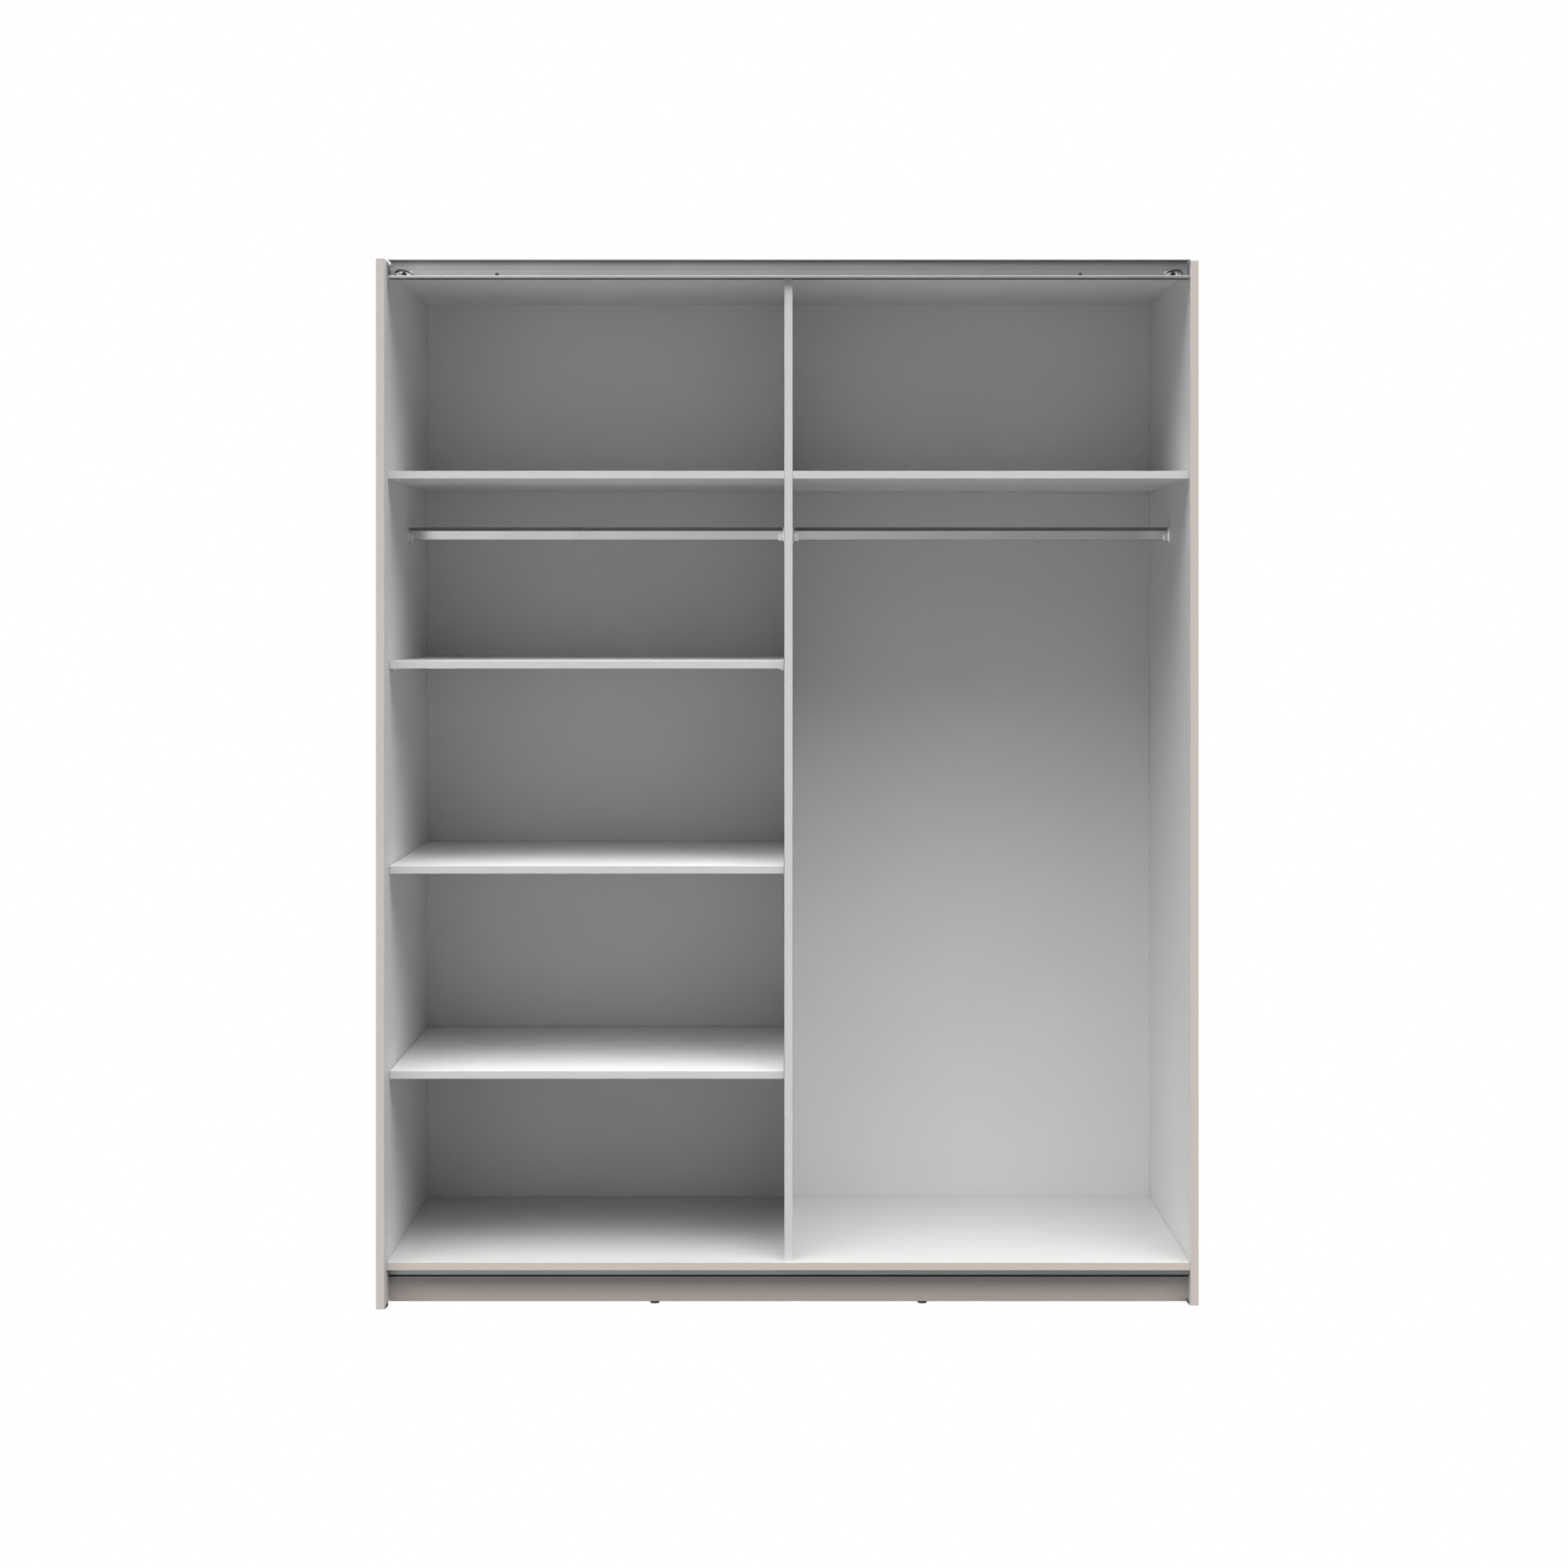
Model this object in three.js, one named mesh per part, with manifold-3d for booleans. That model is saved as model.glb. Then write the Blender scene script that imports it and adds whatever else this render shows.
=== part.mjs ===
// Open carcass of a two-bay wardrobe for sliding doors, as separate boards, profiles and fittings.
// Millimetres. +X right, +Y back, +Z up. Origin on the floor, in the middle of the footprint.

import * as THREE from 'three';
import { mergeVertices } from 'three/addons/utils/BufferGeometryUtils.js';
import Module from 'manifold-3d';

const wasm = await Module();
wasm.setup();

// ---------------------------------------------------------------- driving sizes

const overallWidth = 1600;
const overallDepth = 600;
const overallHeight = 2045; // of the side panels

const seatGap = 0.3; // between pieces that rest on or butt against each other
const overcut = 1; // how far a cut runs past the face it opens, or a joined shape into its neighbour
const slideGap = 1; // each side of a loose shelf

const uprightThickness = 16;
const shelfThickness = 15;
const leftPanelLead = 28; // the left side panel stands this far in front of the other boards

const topPanelDrop = 4; // from the side panels' top edge
const bottomPanelTopZ = 90;
const bottomPanelOverhang = 39; // of the bottom panel in front of the plinth
const plinthGroundGap = 4;

const dividerOffsetX = 0;
const dividerSetback = 14;
const topShelfTopZ = 1635;
const looseShelfSetback = 30;
const looseShelfTopZ = 458;
const looseShelfPitch = 402.5;
const looseShelfCount = 3;
const shelfRearGap = 2;

const backThickness = 3;
const backInset = 12; // from the side panels' rear edge to the back sheets' rear face
const backGrooveDepth = 8;
const backGrooveEndGap = 0.8;
const backSheetInset = 1; // from the top of the top panel and the underside of the bottom one
const stripFlangeWidth = 20;
const stripThickness = 1;

const trackHeight = 35.5;
const trackRise = 1.5; // above the side panels' top edge
const trackLeftGap = 3; // from the track's left end to the side panel
const trackDepth = 32;
const trackWall = 1.5;
const trackLipHeight = 4.5;
const trackRibHeight = 3.5;
const trackRibDrop = 4; // below the track's top
const trackRibDepth = 1.5;
const trackPadHeight = 21; // thicker lower half of the web
const trackPadDepth = 0.8;
const trackScrewX = 572;
const trackScrewDrop = 3.7; // from the batten's top edge
const battenDepth = 15.4;
const battenLift = 2.3; // above the track's underside

const guideDepth = 14.2;
const guideHeight = 20.2;
const guideWall = 1.5;
const guideFaceHeight = 14.2; // of the front wall above the slot
const guideSlotHeight = 4.5;

const screwShaftRadius = 1.75;
const screwHeadRadius = 3.5;
const screwHeadHeight = 2.4;
const screwLength = 14;
const screwHoleGap = 0.2;
const screwPoint = 3; // length of a screw's or nail's tapering tip

const catchPlateLength = 38;
const catchPlateHeight = 13;
const catchPlateThickness = 1.5;
const catchPlateCorner = 3;
const catchPlateEndGap = 9; // to the side panel
const catchPinRadius = 1.5;
const catchPinInset = 5.3; // from the plate's outer end
const catchCurlWall = 1.2;
const catchWidth = 9; // of the leaf, along Y
const catchScrewInset = 12.8;
const catchBufferInset = 21.8;
const catchBufferRadius = 4.2;
const catchScrewDrop = 3.5; // from the batten's top edge

const railBottomZ = 1507.5;
const railHeight = 19;
const railWidth = 14;
const railWall = 1.4;
const railCorner = 2.5;
const railCentreY = 5;
const railStripHeight = 6.2;
const railStripWidth = 9;
const railStripShoulder = 4;
const railStripEndGap = 1; // from each end of its rail
const cupPlateThickness = 2.5;
const cupDepth = 13;
const cupWall = 2.5;
const cupSideHeight = 13.5; // of the saddle's cheeks beside the rail
const cupPlateWidth = 26;
const cupPlateHeight = 37;
const cupPlateCorner = 8;
const cupPlateBottomDrop = 7.5; // below the rail
const railEndGap = 0.5;

const supportPinRadius = 2.5;
const supportPinLength = 8;
const supportHoleGap = 0.15;
const supportReach = 9;
const supportWidth = 12;
const supportLip = 2.2;
const supportFlangeRadius = 4.2;
const supportFlange = 1.2;
const supportInsetFront = 42; // from a loose shelf's front edge
const supportInsetRear = 42;
const supportHoleDepth = 9;

const plugRadius = 3;
const plugHead = 0.8;
const plugPinRadius = 2;
const plugPinLength = 6;
const plugZ = 185;
const plugSetback = 63; // from the carcass front

const glideHeight = 6.5;
const glideRadius = 8.5;
const glideInsetFront = 29.5; // from its side panel's front edge
const glideInsetRear = 49;
const glideNailRadius = 1.5;
const glideNailLength = 12;
const glideSideGap = 1.1; // between the glide's rim and the panel's outer face

const footX = 263;
const footRadius = 9.5;
const footStemRadius = 3;
const footStemLength = 25;
const footHoleGap = 0.4;
const footHoleDepth = 32;

const padEdge = 0.8; // chamfer round the feet, the glides and the buffers
const capEdge = 0.35; // chamfer round the plugs

// ---------------------------------------------------------------- planes worked out from them

const halfWidth = overallWidth / 2;
const innerX = halfWidth - uprightThickness;
const leftFrontY = -overallDepth / 2;
const frontY = leftFrontY + leftPanelLead;
const rearY = overallDepth / 2;
const topPanelTopZ = overallHeight - topPanelDrop;
const topPanelUnderZ = topPanelTopZ - uprightThickness;
const bottomPanelUnderZ = bottomPanelTopZ - shelfThickness;
const backRearY = rearY - backInset;
const backFrontY = backRearY - backThickness;
const stripFrontY = backFrontY - seatGap - stripThickness;
const stripRearY = backRearY + seatGap + stripThickness;
const boardRearY = backFrontY - seatGap;
const partitionRearY = stripFrontY - seatGap;
const plinthFrontY = frontY + bottomPanelOverhang;
const trackBackY = frontY + trackDepth;
const trackWebY = trackBackY - trackWall;
const trackPadY = trackWebY - trackPadDepth;
const trackTopZ = overallHeight + trackRise;
const trackUnderZ = trackTopZ - trackHeight;
const battenRearY = trackBackY + seatGap + battenDepth;
const battenUnderZ = trackUnderZ + battenLift;
const battenTopZ = topPanelUnderZ - seatGap;
const dividerFrontY = frontY + dividerSetback;
const dividerLeftX = dividerOffsetX - uprightThickness / 2;
const dividerRightX = dividerOffsetX + uprightThickness / 2;
const looseShelfFrontY = frontY + looseShelfSetback;
const looseShelfRearY = partitionRearY - shelfRearGap;
const supportFrontY = looseShelfFrontY + supportInsetFront;
const supportRearY = looseShelfRearY - supportInsetRear;

// ---------------------------------------------------------------- materials

function finish(color, roughness, metalness = 0) {
  return { color, roughness, metalness };
}

const cashmereBoard = finish(0xc5bdb4, 0.55);
const whiteBoard = finish(0xf0f0ee, 0.5);
const backBoard = finish(0xececea, 0.6);
const aluminium = finish(0xb4b5b6, 0.35, 0.9);
const zinc = finish(0xc9cacc, 0.3, 0.9);
const springSteel = finish(0x3b3a38, 0.4, 0.8);
const rubber = finish(0x2f2f30, 0.8);
const whitePlastic = finish(0xe4e4e2, 0.45);
const blackPlastic = finish(0x1e1e1f, 0.5);
const greyPlastic = finish(0x6f6f70, 0.55);

// ---------------------------------------------------------------- helpers

const wardrobe = new THREE.Group();
wardrobe.name = 'wardrobe';

function addMesh(name, geometry, look) {
  const mesh = new THREE.Mesh(geometry, new THREE.MeshStandardMaterial(look));
  mesh.name = name;
  wardrobe.add(mesh);
  return mesh;
}

function positionOnly(geometry) {
  const bare = geometry.clone();
  bare.deleteAttribute('normal');
  bare.deleteAttribute('uv');
  return mergeVertices(bare);
}

function toSolid(geometry) {
  const bare = positionOnly(geometry);
  const vertProperties = new Float32Array(bare.attributes.position.array);
  const triVerts = new Uint32Array(bare.index.array);
  return new wasm.Manifold(new wasm.Mesh({ numProp: 3, vertProperties, triVerts }));
}

function toGeometry(solid) {
  const mesh = solid.getMesh();
  const geometry = new THREE.BufferGeometry();
  geometry.setAttribute('position', new THREE.BufferAttribute(mesh.vertProperties, 3));
  geometry.setIndex(new THREE.BufferAttribute(mesh.triVerts, 1));
  geometry.computeVertexNormals();
  return geometry;
}

// Joins the first list of geometries and cuts the second list out of it.
function carve(bodies, cuts) {
  let solid = toSolid(bodies[0]);
  for (const body of bodies.slice(1)) {
    solid = solid.add(toSolid(body));
  }
  for (const cut of cuts) {
    solid = solid.subtract(toSolid(cut));
  }
  return toGeometry(solid);
}

// A block between two corners, given as [low, high] on each axis.
function block([x0, x1], [y0, y1], [z0, z1]) {
  const geometry = new THREE.BoxGeometry(x1 - x0, y1 - y0, z1 - z0);
  geometry.translate((x0 + x1) / 2, (y0 + y1) / 2, (z0 + z1) / 2);
  return geometry;
}

// A cylinder from start, running length along 'x', 'y' or 'z'.
function rod(axis, start, radius, length, sides = 14) {
  const geometry = new THREE.CylinderGeometry(radius, radius, Math.abs(length), sides);
  geometry.translate(0, Math.abs(length) / 2, 0);
  if (length < 0) geometry.rotateX(Math.PI);
  if (axis === 'x') geometry.rotateZ(-Math.PI / 2);
  if (axis === 'z') geometry.rotateX(Math.PI / 2);
  geometry.translate(...start);
  return geometry;
}

function outline(points) {
  return new THREE.Shape(points.map(([u, v]) => new THREE.Vector2(u, v)));
}

// Extrudes a shape drawn in (Y, Z) from x0 to x1.
function alongX(shape, x0, x1, curveSegments = 8) {
  const geometry = new THREE.ExtrudeGeometry(shape, {
    depth: x1 - x0,
    bevelEnabled: false,
    curveSegments,
  });
  geometry.rotateX(Math.PI / 2);
  geometry.rotateZ(Math.PI / 2);
  geometry.translate(x0, 0, 0);
  return geometry;
}

// Extrudes a shape drawn in (X, Z) from y0 back to y1.
function alongY(shape, y0, y1, curveSegments = 8) {
  const geometry = new THREE.ExtrudeGeometry(shape, {
    depth: y1 - y0,
    bevelEnabled: false,
    curveSegments,
  });
  geometry.rotateX(Math.PI / 2);
  geometry.translate(0, y1, 0);
  return geometry;
}

// Extrudes a shape drawn in (X, Y) from z0 up to z1.
function alongZ(shape, z0, z1) {
  const geometry = new THREE.ExtrudeGeometry(shape, { depth: z1 - z0, bevelEnabled: false });
  geometry.translate(0, 0, z0);
  return geometry;
}

// A turned piece from [radius, height] pairs, standing on z0 at (x, y).
function turned(profile, x, y, z0, sides = 14) {
  const points = profile.map(([radius, height]) => new THREE.Vector2(radius, height));
  const geometry = new THREE.LatheGeometry(points, sides);
  geometry.rotateX(Math.PI / 2);
  geometry.translate(x, y, z0);
  return geometry;
}

// A rounded rectangle in any plane, centred on (u, v).
function roundedRectangle(u, v, width, height, radius) {
  const shape = new THREE.Shape();
  const left = u - width / 2;
  const right = u + width / 2;
  const low = v - height / 2;
  const high = v + height / 2;
  shape.moveTo(left + radius, low);
  shape.lineTo(right - radius, low);
  shape.absarc(right - radius, low + radius, radius, -Math.PI / 2, 0, false);
  shape.lineTo(right, high - radius);
  shape.absarc(right - radius, high - radius, radius, 0, Math.PI / 2, false);
  shape.lineTo(left + radius, high);
  shape.absarc(left + radius, high - radius, radius, Math.PI / 2, Math.PI, false);
  shape.lineTo(left, low + radius);
  shape.absarc(left + radius, low + radius, radius, Math.PI, Math.PI * 1.5, false);
  return shape;
}

// Each side of the wardrobe: name ending, the sign of its X, and its side panel's front edge.
const sides = [
  { end: 'left', sign: -1, panelFrontY: leftFrontY },
  { end: 'right', sign: 1, panelFrontY: frontY },
];

const looseShelves = ['lower', 'middle', 'upper'].slice(0, looseShelfCount).map((level, index) => ({
  level,
  topZ: looseShelfTopZ + index * looseShelfPitch,
  underZ: looseShelfTopZ + index * looseShelfPitch - shelfThickness,
}));

// The shelf supports' places, shared by the supports and by the holes they sit in.
const supportSpots = looseShelves.flatMap(({ level, underZ }) =>
  [
    { depth: 'front', y: supportFrontY },
    { depth: 'rear', y: supportRearY },
  ].flatMap(({ depth, y }) => [
    { name: `support_${level}_${depth}_outer`, y, wallX: -innerX, into: -1, underZ },
    { name: `support_${level}_${depth}_inner`, y, wallX: dividerLeftX, into: 1, underZ },
  ]),
);
const supportPinDrop = supportLip + supportPinRadius; // from the shelf's underside to the pin's axis

function supportHole({ y, wallX, into, underZ }) {
  const start = [wallX - into * overcut, y, underZ - seatGap - supportPinDrop];
  return rod('x', start, supportPinRadius + supportHoleGap, into * (supportHoleDepth + overcut), 12);
}

// ---------------------------------------------------------------- side panels

const plugY = frontY + plugSetback;
const glideX = halfWidth - glideSideGap - glideRadius;

// The glides' places along a side panel's lower edge.
function glideSpots(panelFrontY) {
  return { front: panelFrontY + glideInsetFront, rear: rearY - glideInsetRear };
}

function glideHole(x, y) {
  const depth = glideNailLength + overcut * 2;
  return rod('z', [x, y, glideHeight - overcut], glideNailRadius + screwHoleGap, depth, 12);
}

function plugHole(sign) {
  const start = [sign * (innerX - overcut), plugY, plugZ];
  return rod('x', start, plugPinRadius + screwHoleGap, sign * (plugPinLength + overcut * 2), 12);
}

// Upright side board with a groove for the back sheet along its inner face.
function sidePanel({ end, sign, panelFrontY }) {
  const grooveFloorX = innerX + backGrooveDepth;
  const grooveFrontY = backFrontY - seatGap;
  const grooveRearY = backRearY + seatGap;
  const section = outline(
    [
      [halfWidth, panelFrontY],
      [halfWidth, rearY],
      [innerX, rearY],
      [innerX, grooveRearY],
      [grooveFloorX, grooveRearY],
      [grooveFloorX, grooveFrontY],
      [innerX, grooveFrontY],
      [innerX, panelFrontY],
    ].map(([x, y]) => [sign * x, y]),
  );
  const holes = [plugHole(sign)];
  for (const y of Object.values(glideSpots(panelFrontY))) {
    holes.push(glideHole(sign * glideX, y));
  }
  if (sign < 0) {
    for (const spot of supportSpots.filter(({ into }) => into < 0)) {
      holes.push(supportHole(spot));
    }
  }
  addMesh(`side_panel_${end}`, carve([alongZ(section, glideHeight, overallHeight)], holes), cashmereBoard);
}

sides.forEach(sidePanel);

// ---------------------------------------------------------------- fixed boards

const boardSpanX = [-innerX + seatGap, innerX - seatGap];

addMesh(
  'top_panel',
  block(boardSpanX, [trackBackY + seatGap, boardRearY], [topPanelUnderZ, topPanelTopZ]),
  whiteBoard,
);
addMesh(
  'bottom_panel',
  block(boardSpanX, [frontY, boardRearY], [bottomPanelUnderZ, bottomPanelTopZ]),
  cashmereBoard,
);

// The divider is notched at its top front corner around the track and its batten.
const dividerTopZ = topPanelUnderZ - seatGap;
const dividerNotchY = battenRearY + seatGap;
const dividerNotchZ = trackUnderZ - seatGap;
const dividerBoard = alongX(
  outline([
    [dividerFrontY, bottomPanelTopZ + seatGap],
    [partitionRearY, bottomPanelTopZ + seatGap],
    [partitionRearY, dividerTopZ],
    [dividerNotchY, dividerTopZ],
    [dividerNotchY, dividerNotchZ],
    [dividerFrontY, dividerNotchZ],
  ]),
  dividerLeftX,
  dividerRightX,
);
const dividerHoles = supportSpots.filter(({ into }) => into > 0).map(supportHole);
addMesh('divider_panel', carve([dividerBoard], dividerHoles), whiteBoard);

// Each bay's clear width, from the side panel to the divider.
const bays = {
  left: [-innerX, dividerLeftX],
  right: [dividerRightX, innerX],
};

for (const [bay, [x0, x1]] of Object.entries(bays)) {
  const board = block(
    [x0 + seatGap, x1 - seatGap],
    [dividerFrontY, partitionRearY],
    [topShelfTopZ - shelfThickness, topShelfTopZ],
  );
  addMesh(`top_shelf_${bay}`, board, whiteBoard);
}

// ---------------------------------------------------------------- loose shelves and their supports

for (const { level, topZ, underZ } of looseShelves) {
  const board = block(
    [bays.left[0] + slideGap, bays.left[1] - slideGap],
    [looseShelfFrontY, looseShelfRearY],
    [underZ, topZ],
  );
  addMesh(`shelf_${level}`, board, whiteBoard);
}

// A support is a pin with a round flange and a flat lip that the shelf lies on.
function shelfSupport({ name, y, wallX, into, underZ }) {
  const lipTopZ = underZ - seatGap;
  const axisZ = lipTopZ - supportPinDrop;
  const out = -into;
  const flangeX = wallX + out * seatGap;
  const pinStart = [flangeX + out * overcut, y, axisZ];
  const pin = rod('x', pinStart, supportPinRadius, into * (supportPinLength + overcut), 12);
  const flange = rod('x', [flangeX, y, axisZ], supportFlangeRadius, out * supportFlange, 12);
  const lipEnds = [flangeX, flangeX + out * supportReach].sort((a, b) => a - b);
  const lip = block(lipEnds, [y - supportWidth / 2, y + supportWidth / 2], [lipTopZ - supportLip, lipTopZ]);
  addMesh(name, carve([pin, flange, lip], []), zinc);
}

supportSpots.forEach(shelfSupport);

// ---------------------------------------------------------------- plinth and feet

const plinthSpanZ = [plinthGroundGap, bottomPanelUnderZ - seatGap];
const footY = plinthFrontY + uprightThickness / 2;
const footHoles = sides.map(({ sign }) => {
  const start = [sign * footX, footY, plinthGroundGap - overcut];
  return rod('z', start, footStemRadius + footHoleGap, footHoleDepth + overcut);
});
const plinthFrontBoard = block(boardSpanX, [plinthFrontY, plinthFrontY + uprightThickness], plinthSpanZ);
addMesh('plinth_front', carve([plinthFrontBoard], footHoles), cashmereBoard);
addMesh(
  'plinth_rear',
  block(boardSpanX, [boardRearY - uprightThickness, boardRearY], plinthSpanZ),
  whiteBoard,
);

// A levelling foot: a round pad with a stem that turns up into the plinth.
const footPadHeight = plinthGroundGap - seatGap;
const footProfile = [
  [0, 0],
  [footRadius - padEdge, 0],
  [footRadius, padEdge],
  [footRadius, footPadHeight - padEdge],
  [footRadius - padEdge, footPadHeight],
  [footStemRadius, footPadHeight],
  [footStemRadius, footPadHeight + footStemLength - padEdge],
  [footStemRadius - padEdge, footPadHeight + footStemLength],
  [0, footPadHeight + footStemLength],
];

// A glide: a round pad nailed into a side panel's lower edge.
const glidePadHeight = glideHeight - seatGap;
const glideProfile = [
  [0, 0],
  [glideRadius - padEdge, 0],
  [glideRadius, padEdge],
  [glideRadius, glidePadHeight],
  [glideNailRadius, glidePadHeight],
  [glideNailRadius, glidePadHeight + glideNailLength - screwPoint],
  [0, glidePadHeight + glideNailLength],
];

for (const { end, sign, panelFrontY } of sides) {
  addMesh(`foot_${end}`, turned(footProfile, sign * footX, footY, 0, 18), blackPlastic);
  for (const [depth, y] of Object.entries(glideSpots(panelFrontY))) {
    addMesh(`glide_${end}_${depth}`, turned(glideProfile, sign * glideX, y, 0), blackPlastic);
  }
}

// ---------------------------------------------------------------- back

for (const { end, sign } of sides) {
  const outerX = innerX + backGrooveDepth - backGrooveEndGap;
  const middleX = dividerOffsetX + sign * (stripThickness / 2 + seatGap);
  const ends = [sign * outerX, middleX].sort((a, b) => a - b);
  const spanZ = [bottomPanelUnderZ + backSheetInset, topPanelTopZ - backSheetInset];
  const sheet = block(ends, [backFrontY, backRearY], spanZ);
  addMesh(`back_panel_${end}`, sheet, backBoard);
}

// The strip that joins the two sheets behind the divider has an H section.
const stripHalf = stripFlangeWidth / 2;
const webHalf = stripThickness / 2;
const stripSection = outline(
  [
    [-stripHalf, stripFrontY],
    [stripHalf, stripFrontY],
    [stripHalf, stripFrontY + stripThickness],
    [webHalf, stripFrontY + stripThickness],
    [webHalf, stripRearY - stripThickness],
    [stripHalf, stripRearY - stripThickness],
    [stripHalf, stripRearY],
    [-stripHalf, stripRearY],
    [-stripHalf, stripRearY - stripThickness],
    [-webHalf, stripRearY - stripThickness],
    [-webHalf, stripFrontY + stripThickness],
    [-stripHalf, stripFrontY + stripThickness],
  ].map(([x, y]) => [dividerOffsetX + x, y]),
);
addMesh(
  'back_joint_strip',
  alongZ(stripSection, bottomPanelTopZ + seatGap, topPanelUnderZ - seatGap),
  whitePlastic,
);

// ---------------------------------------------------------------- top track and its batten

const trackScrewAxisZ = battenTopZ - trackScrewDrop;
const catchLowestZ = trackUnderZ + trackWall + seatGap + catchPlateHeight / 2;
const catchAxisZ = Math.max(battenTopZ - catchScrewDrop, catchLowestZ);
const catchOuterX = innerX - catchPlateEndGap;
const catchPlateRearY = trackPadY - seatGap;
const catchPlateFrontY = catchPlateRearY - catchPlateThickness;

// Places of every screw through the track: [name ending, X, Z, Y under the head].
const trackScrews = sides.flatMap(({ end, sign }) => [
  { name: `track_screw_${end}`, x: sign * trackScrewX, z: trackScrewAxisZ, seatY: trackPadY },
  {
    name: `catch_screw_${end}`,
    x: sign * (catchOuterX - catchScrewInset),
    z: catchAxisZ,
    seatY: catchPlateFrontY,
  },
]);

function screwHole({ x, z }) {
  const start = [x, frontY + trackWall * 2, z];
  const length = battenRearY - start[1] - overcut;
  return rod('y', start, screwShaftRadius + screwHoleGap, length, 12);
}

// C section open to the front: flanges above and below, a lip on the lower one for the door rollers.
const trackRibTopZ = trackTopZ - trackRibDrop;
const trackSection = outline([
  [frontY, trackTopZ],
  [frontY, trackTopZ - trackWall],
  [trackWebY, trackTopZ - trackWall],
  [trackWebY, trackRibTopZ],
  [trackWebY - trackRibDepth, trackRibTopZ],
  [trackWebY - trackRibDepth, trackRibTopZ - trackRibHeight],
  [trackWebY, trackRibTopZ - trackRibHeight],
  [trackWebY, trackUnderZ + trackPadHeight],
  [trackPadY, trackUnderZ + trackPadHeight],
  [trackPadY, trackUnderZ + trackWall],
  [frontY + trackWall, trackUnderZ + trackWall],
  [frontY + trackWall, trackUnderZ + trackLipHeight],
  [frontY, trackUnderZ + trackLipHeight],
  [frontY, trackUnderZ],
  [trackBackY, trackUnderZ],
  [trackBackY, trackTopZ],
]);
const trackBar = alongX(trackSection, -innerX + trackLeftGap, boardSpanX[1]);
addMesh('top_track', carve([trackBar], trackScrews.map(screwHole)), aluminium);

const battenBoard = block(
  boardSpanX,
  [trackBackY + seatGap, battenRearY],
  [battenUnderZ, battenTopZ],
);
addMesh('track_batten', carve([battenBoard], trackScrews.map(screwHole)), whiteBoard);

// Pan-head screw pointing back along +Y, its head against seatY.
function panScrew({ name, x, z, seatY }) {
  const profile = [
    [0, 0],
    [screwHeadRadius * 0.6, 0.25],
    [screwHeadRadius * 0.9, 0.8],
    [screwHeadRadius, 1.5],
    [screwHeadRadius, screwHeadHeight],
    [screwShaftRadius, screwHeadHeight],
    [screwShaftRadius, screwHeadHeight + screwLength - screwPoint],
    [0, screwHeadHeight + screwLength],
  ];
  const geometry = turned(profile, 0, 0, 0, 12);
  geometry.rotateX(-Math.PI / 2);
  geometry.translate(x, seatY - seatGap - screwHeadHeight, z);
  addMesh(name, geometry, zinc);
}

trackScrews.forEach(panScrew);

// ---------------------------------------------------------------- door catches in the track

// The leaf's centre line as [distance in from the pin, height above it], curl to tip.
const leafLine = [
  [-1.6, 2.6],
  [1, 6],
  [6, 7.9],
  [12, 8],
  [21, 5.8],
  [29, 2.6],
  [33, -2],
];

// A closed outline of even thickness along a smooth line through the points.
function leafOutline(points, thickness) {
  const curve = new THREE.SplineCurve(points.map(([u, v]) => new THREE.Vector2(u, v)));
  const steps = 16;
  const upper = [];
  const lower = [];
  for (let step = 0; step <= steps; step += 1) {
    const point = curve.getPoint(step / steps);
    const tangent = curve.getTangent(step / steps);
    const normal = new THREE.Vector2(-tangent.y, tangent.x).multiplyScalar(thickness / 2);
    upper.push([point.x + normal.x, point.y + normal.y]);
    lower.unshift([point.x - normal.x, point.y - normal.y]);
  }
  return outline([...upper, ...lower].reverse());
}

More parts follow.
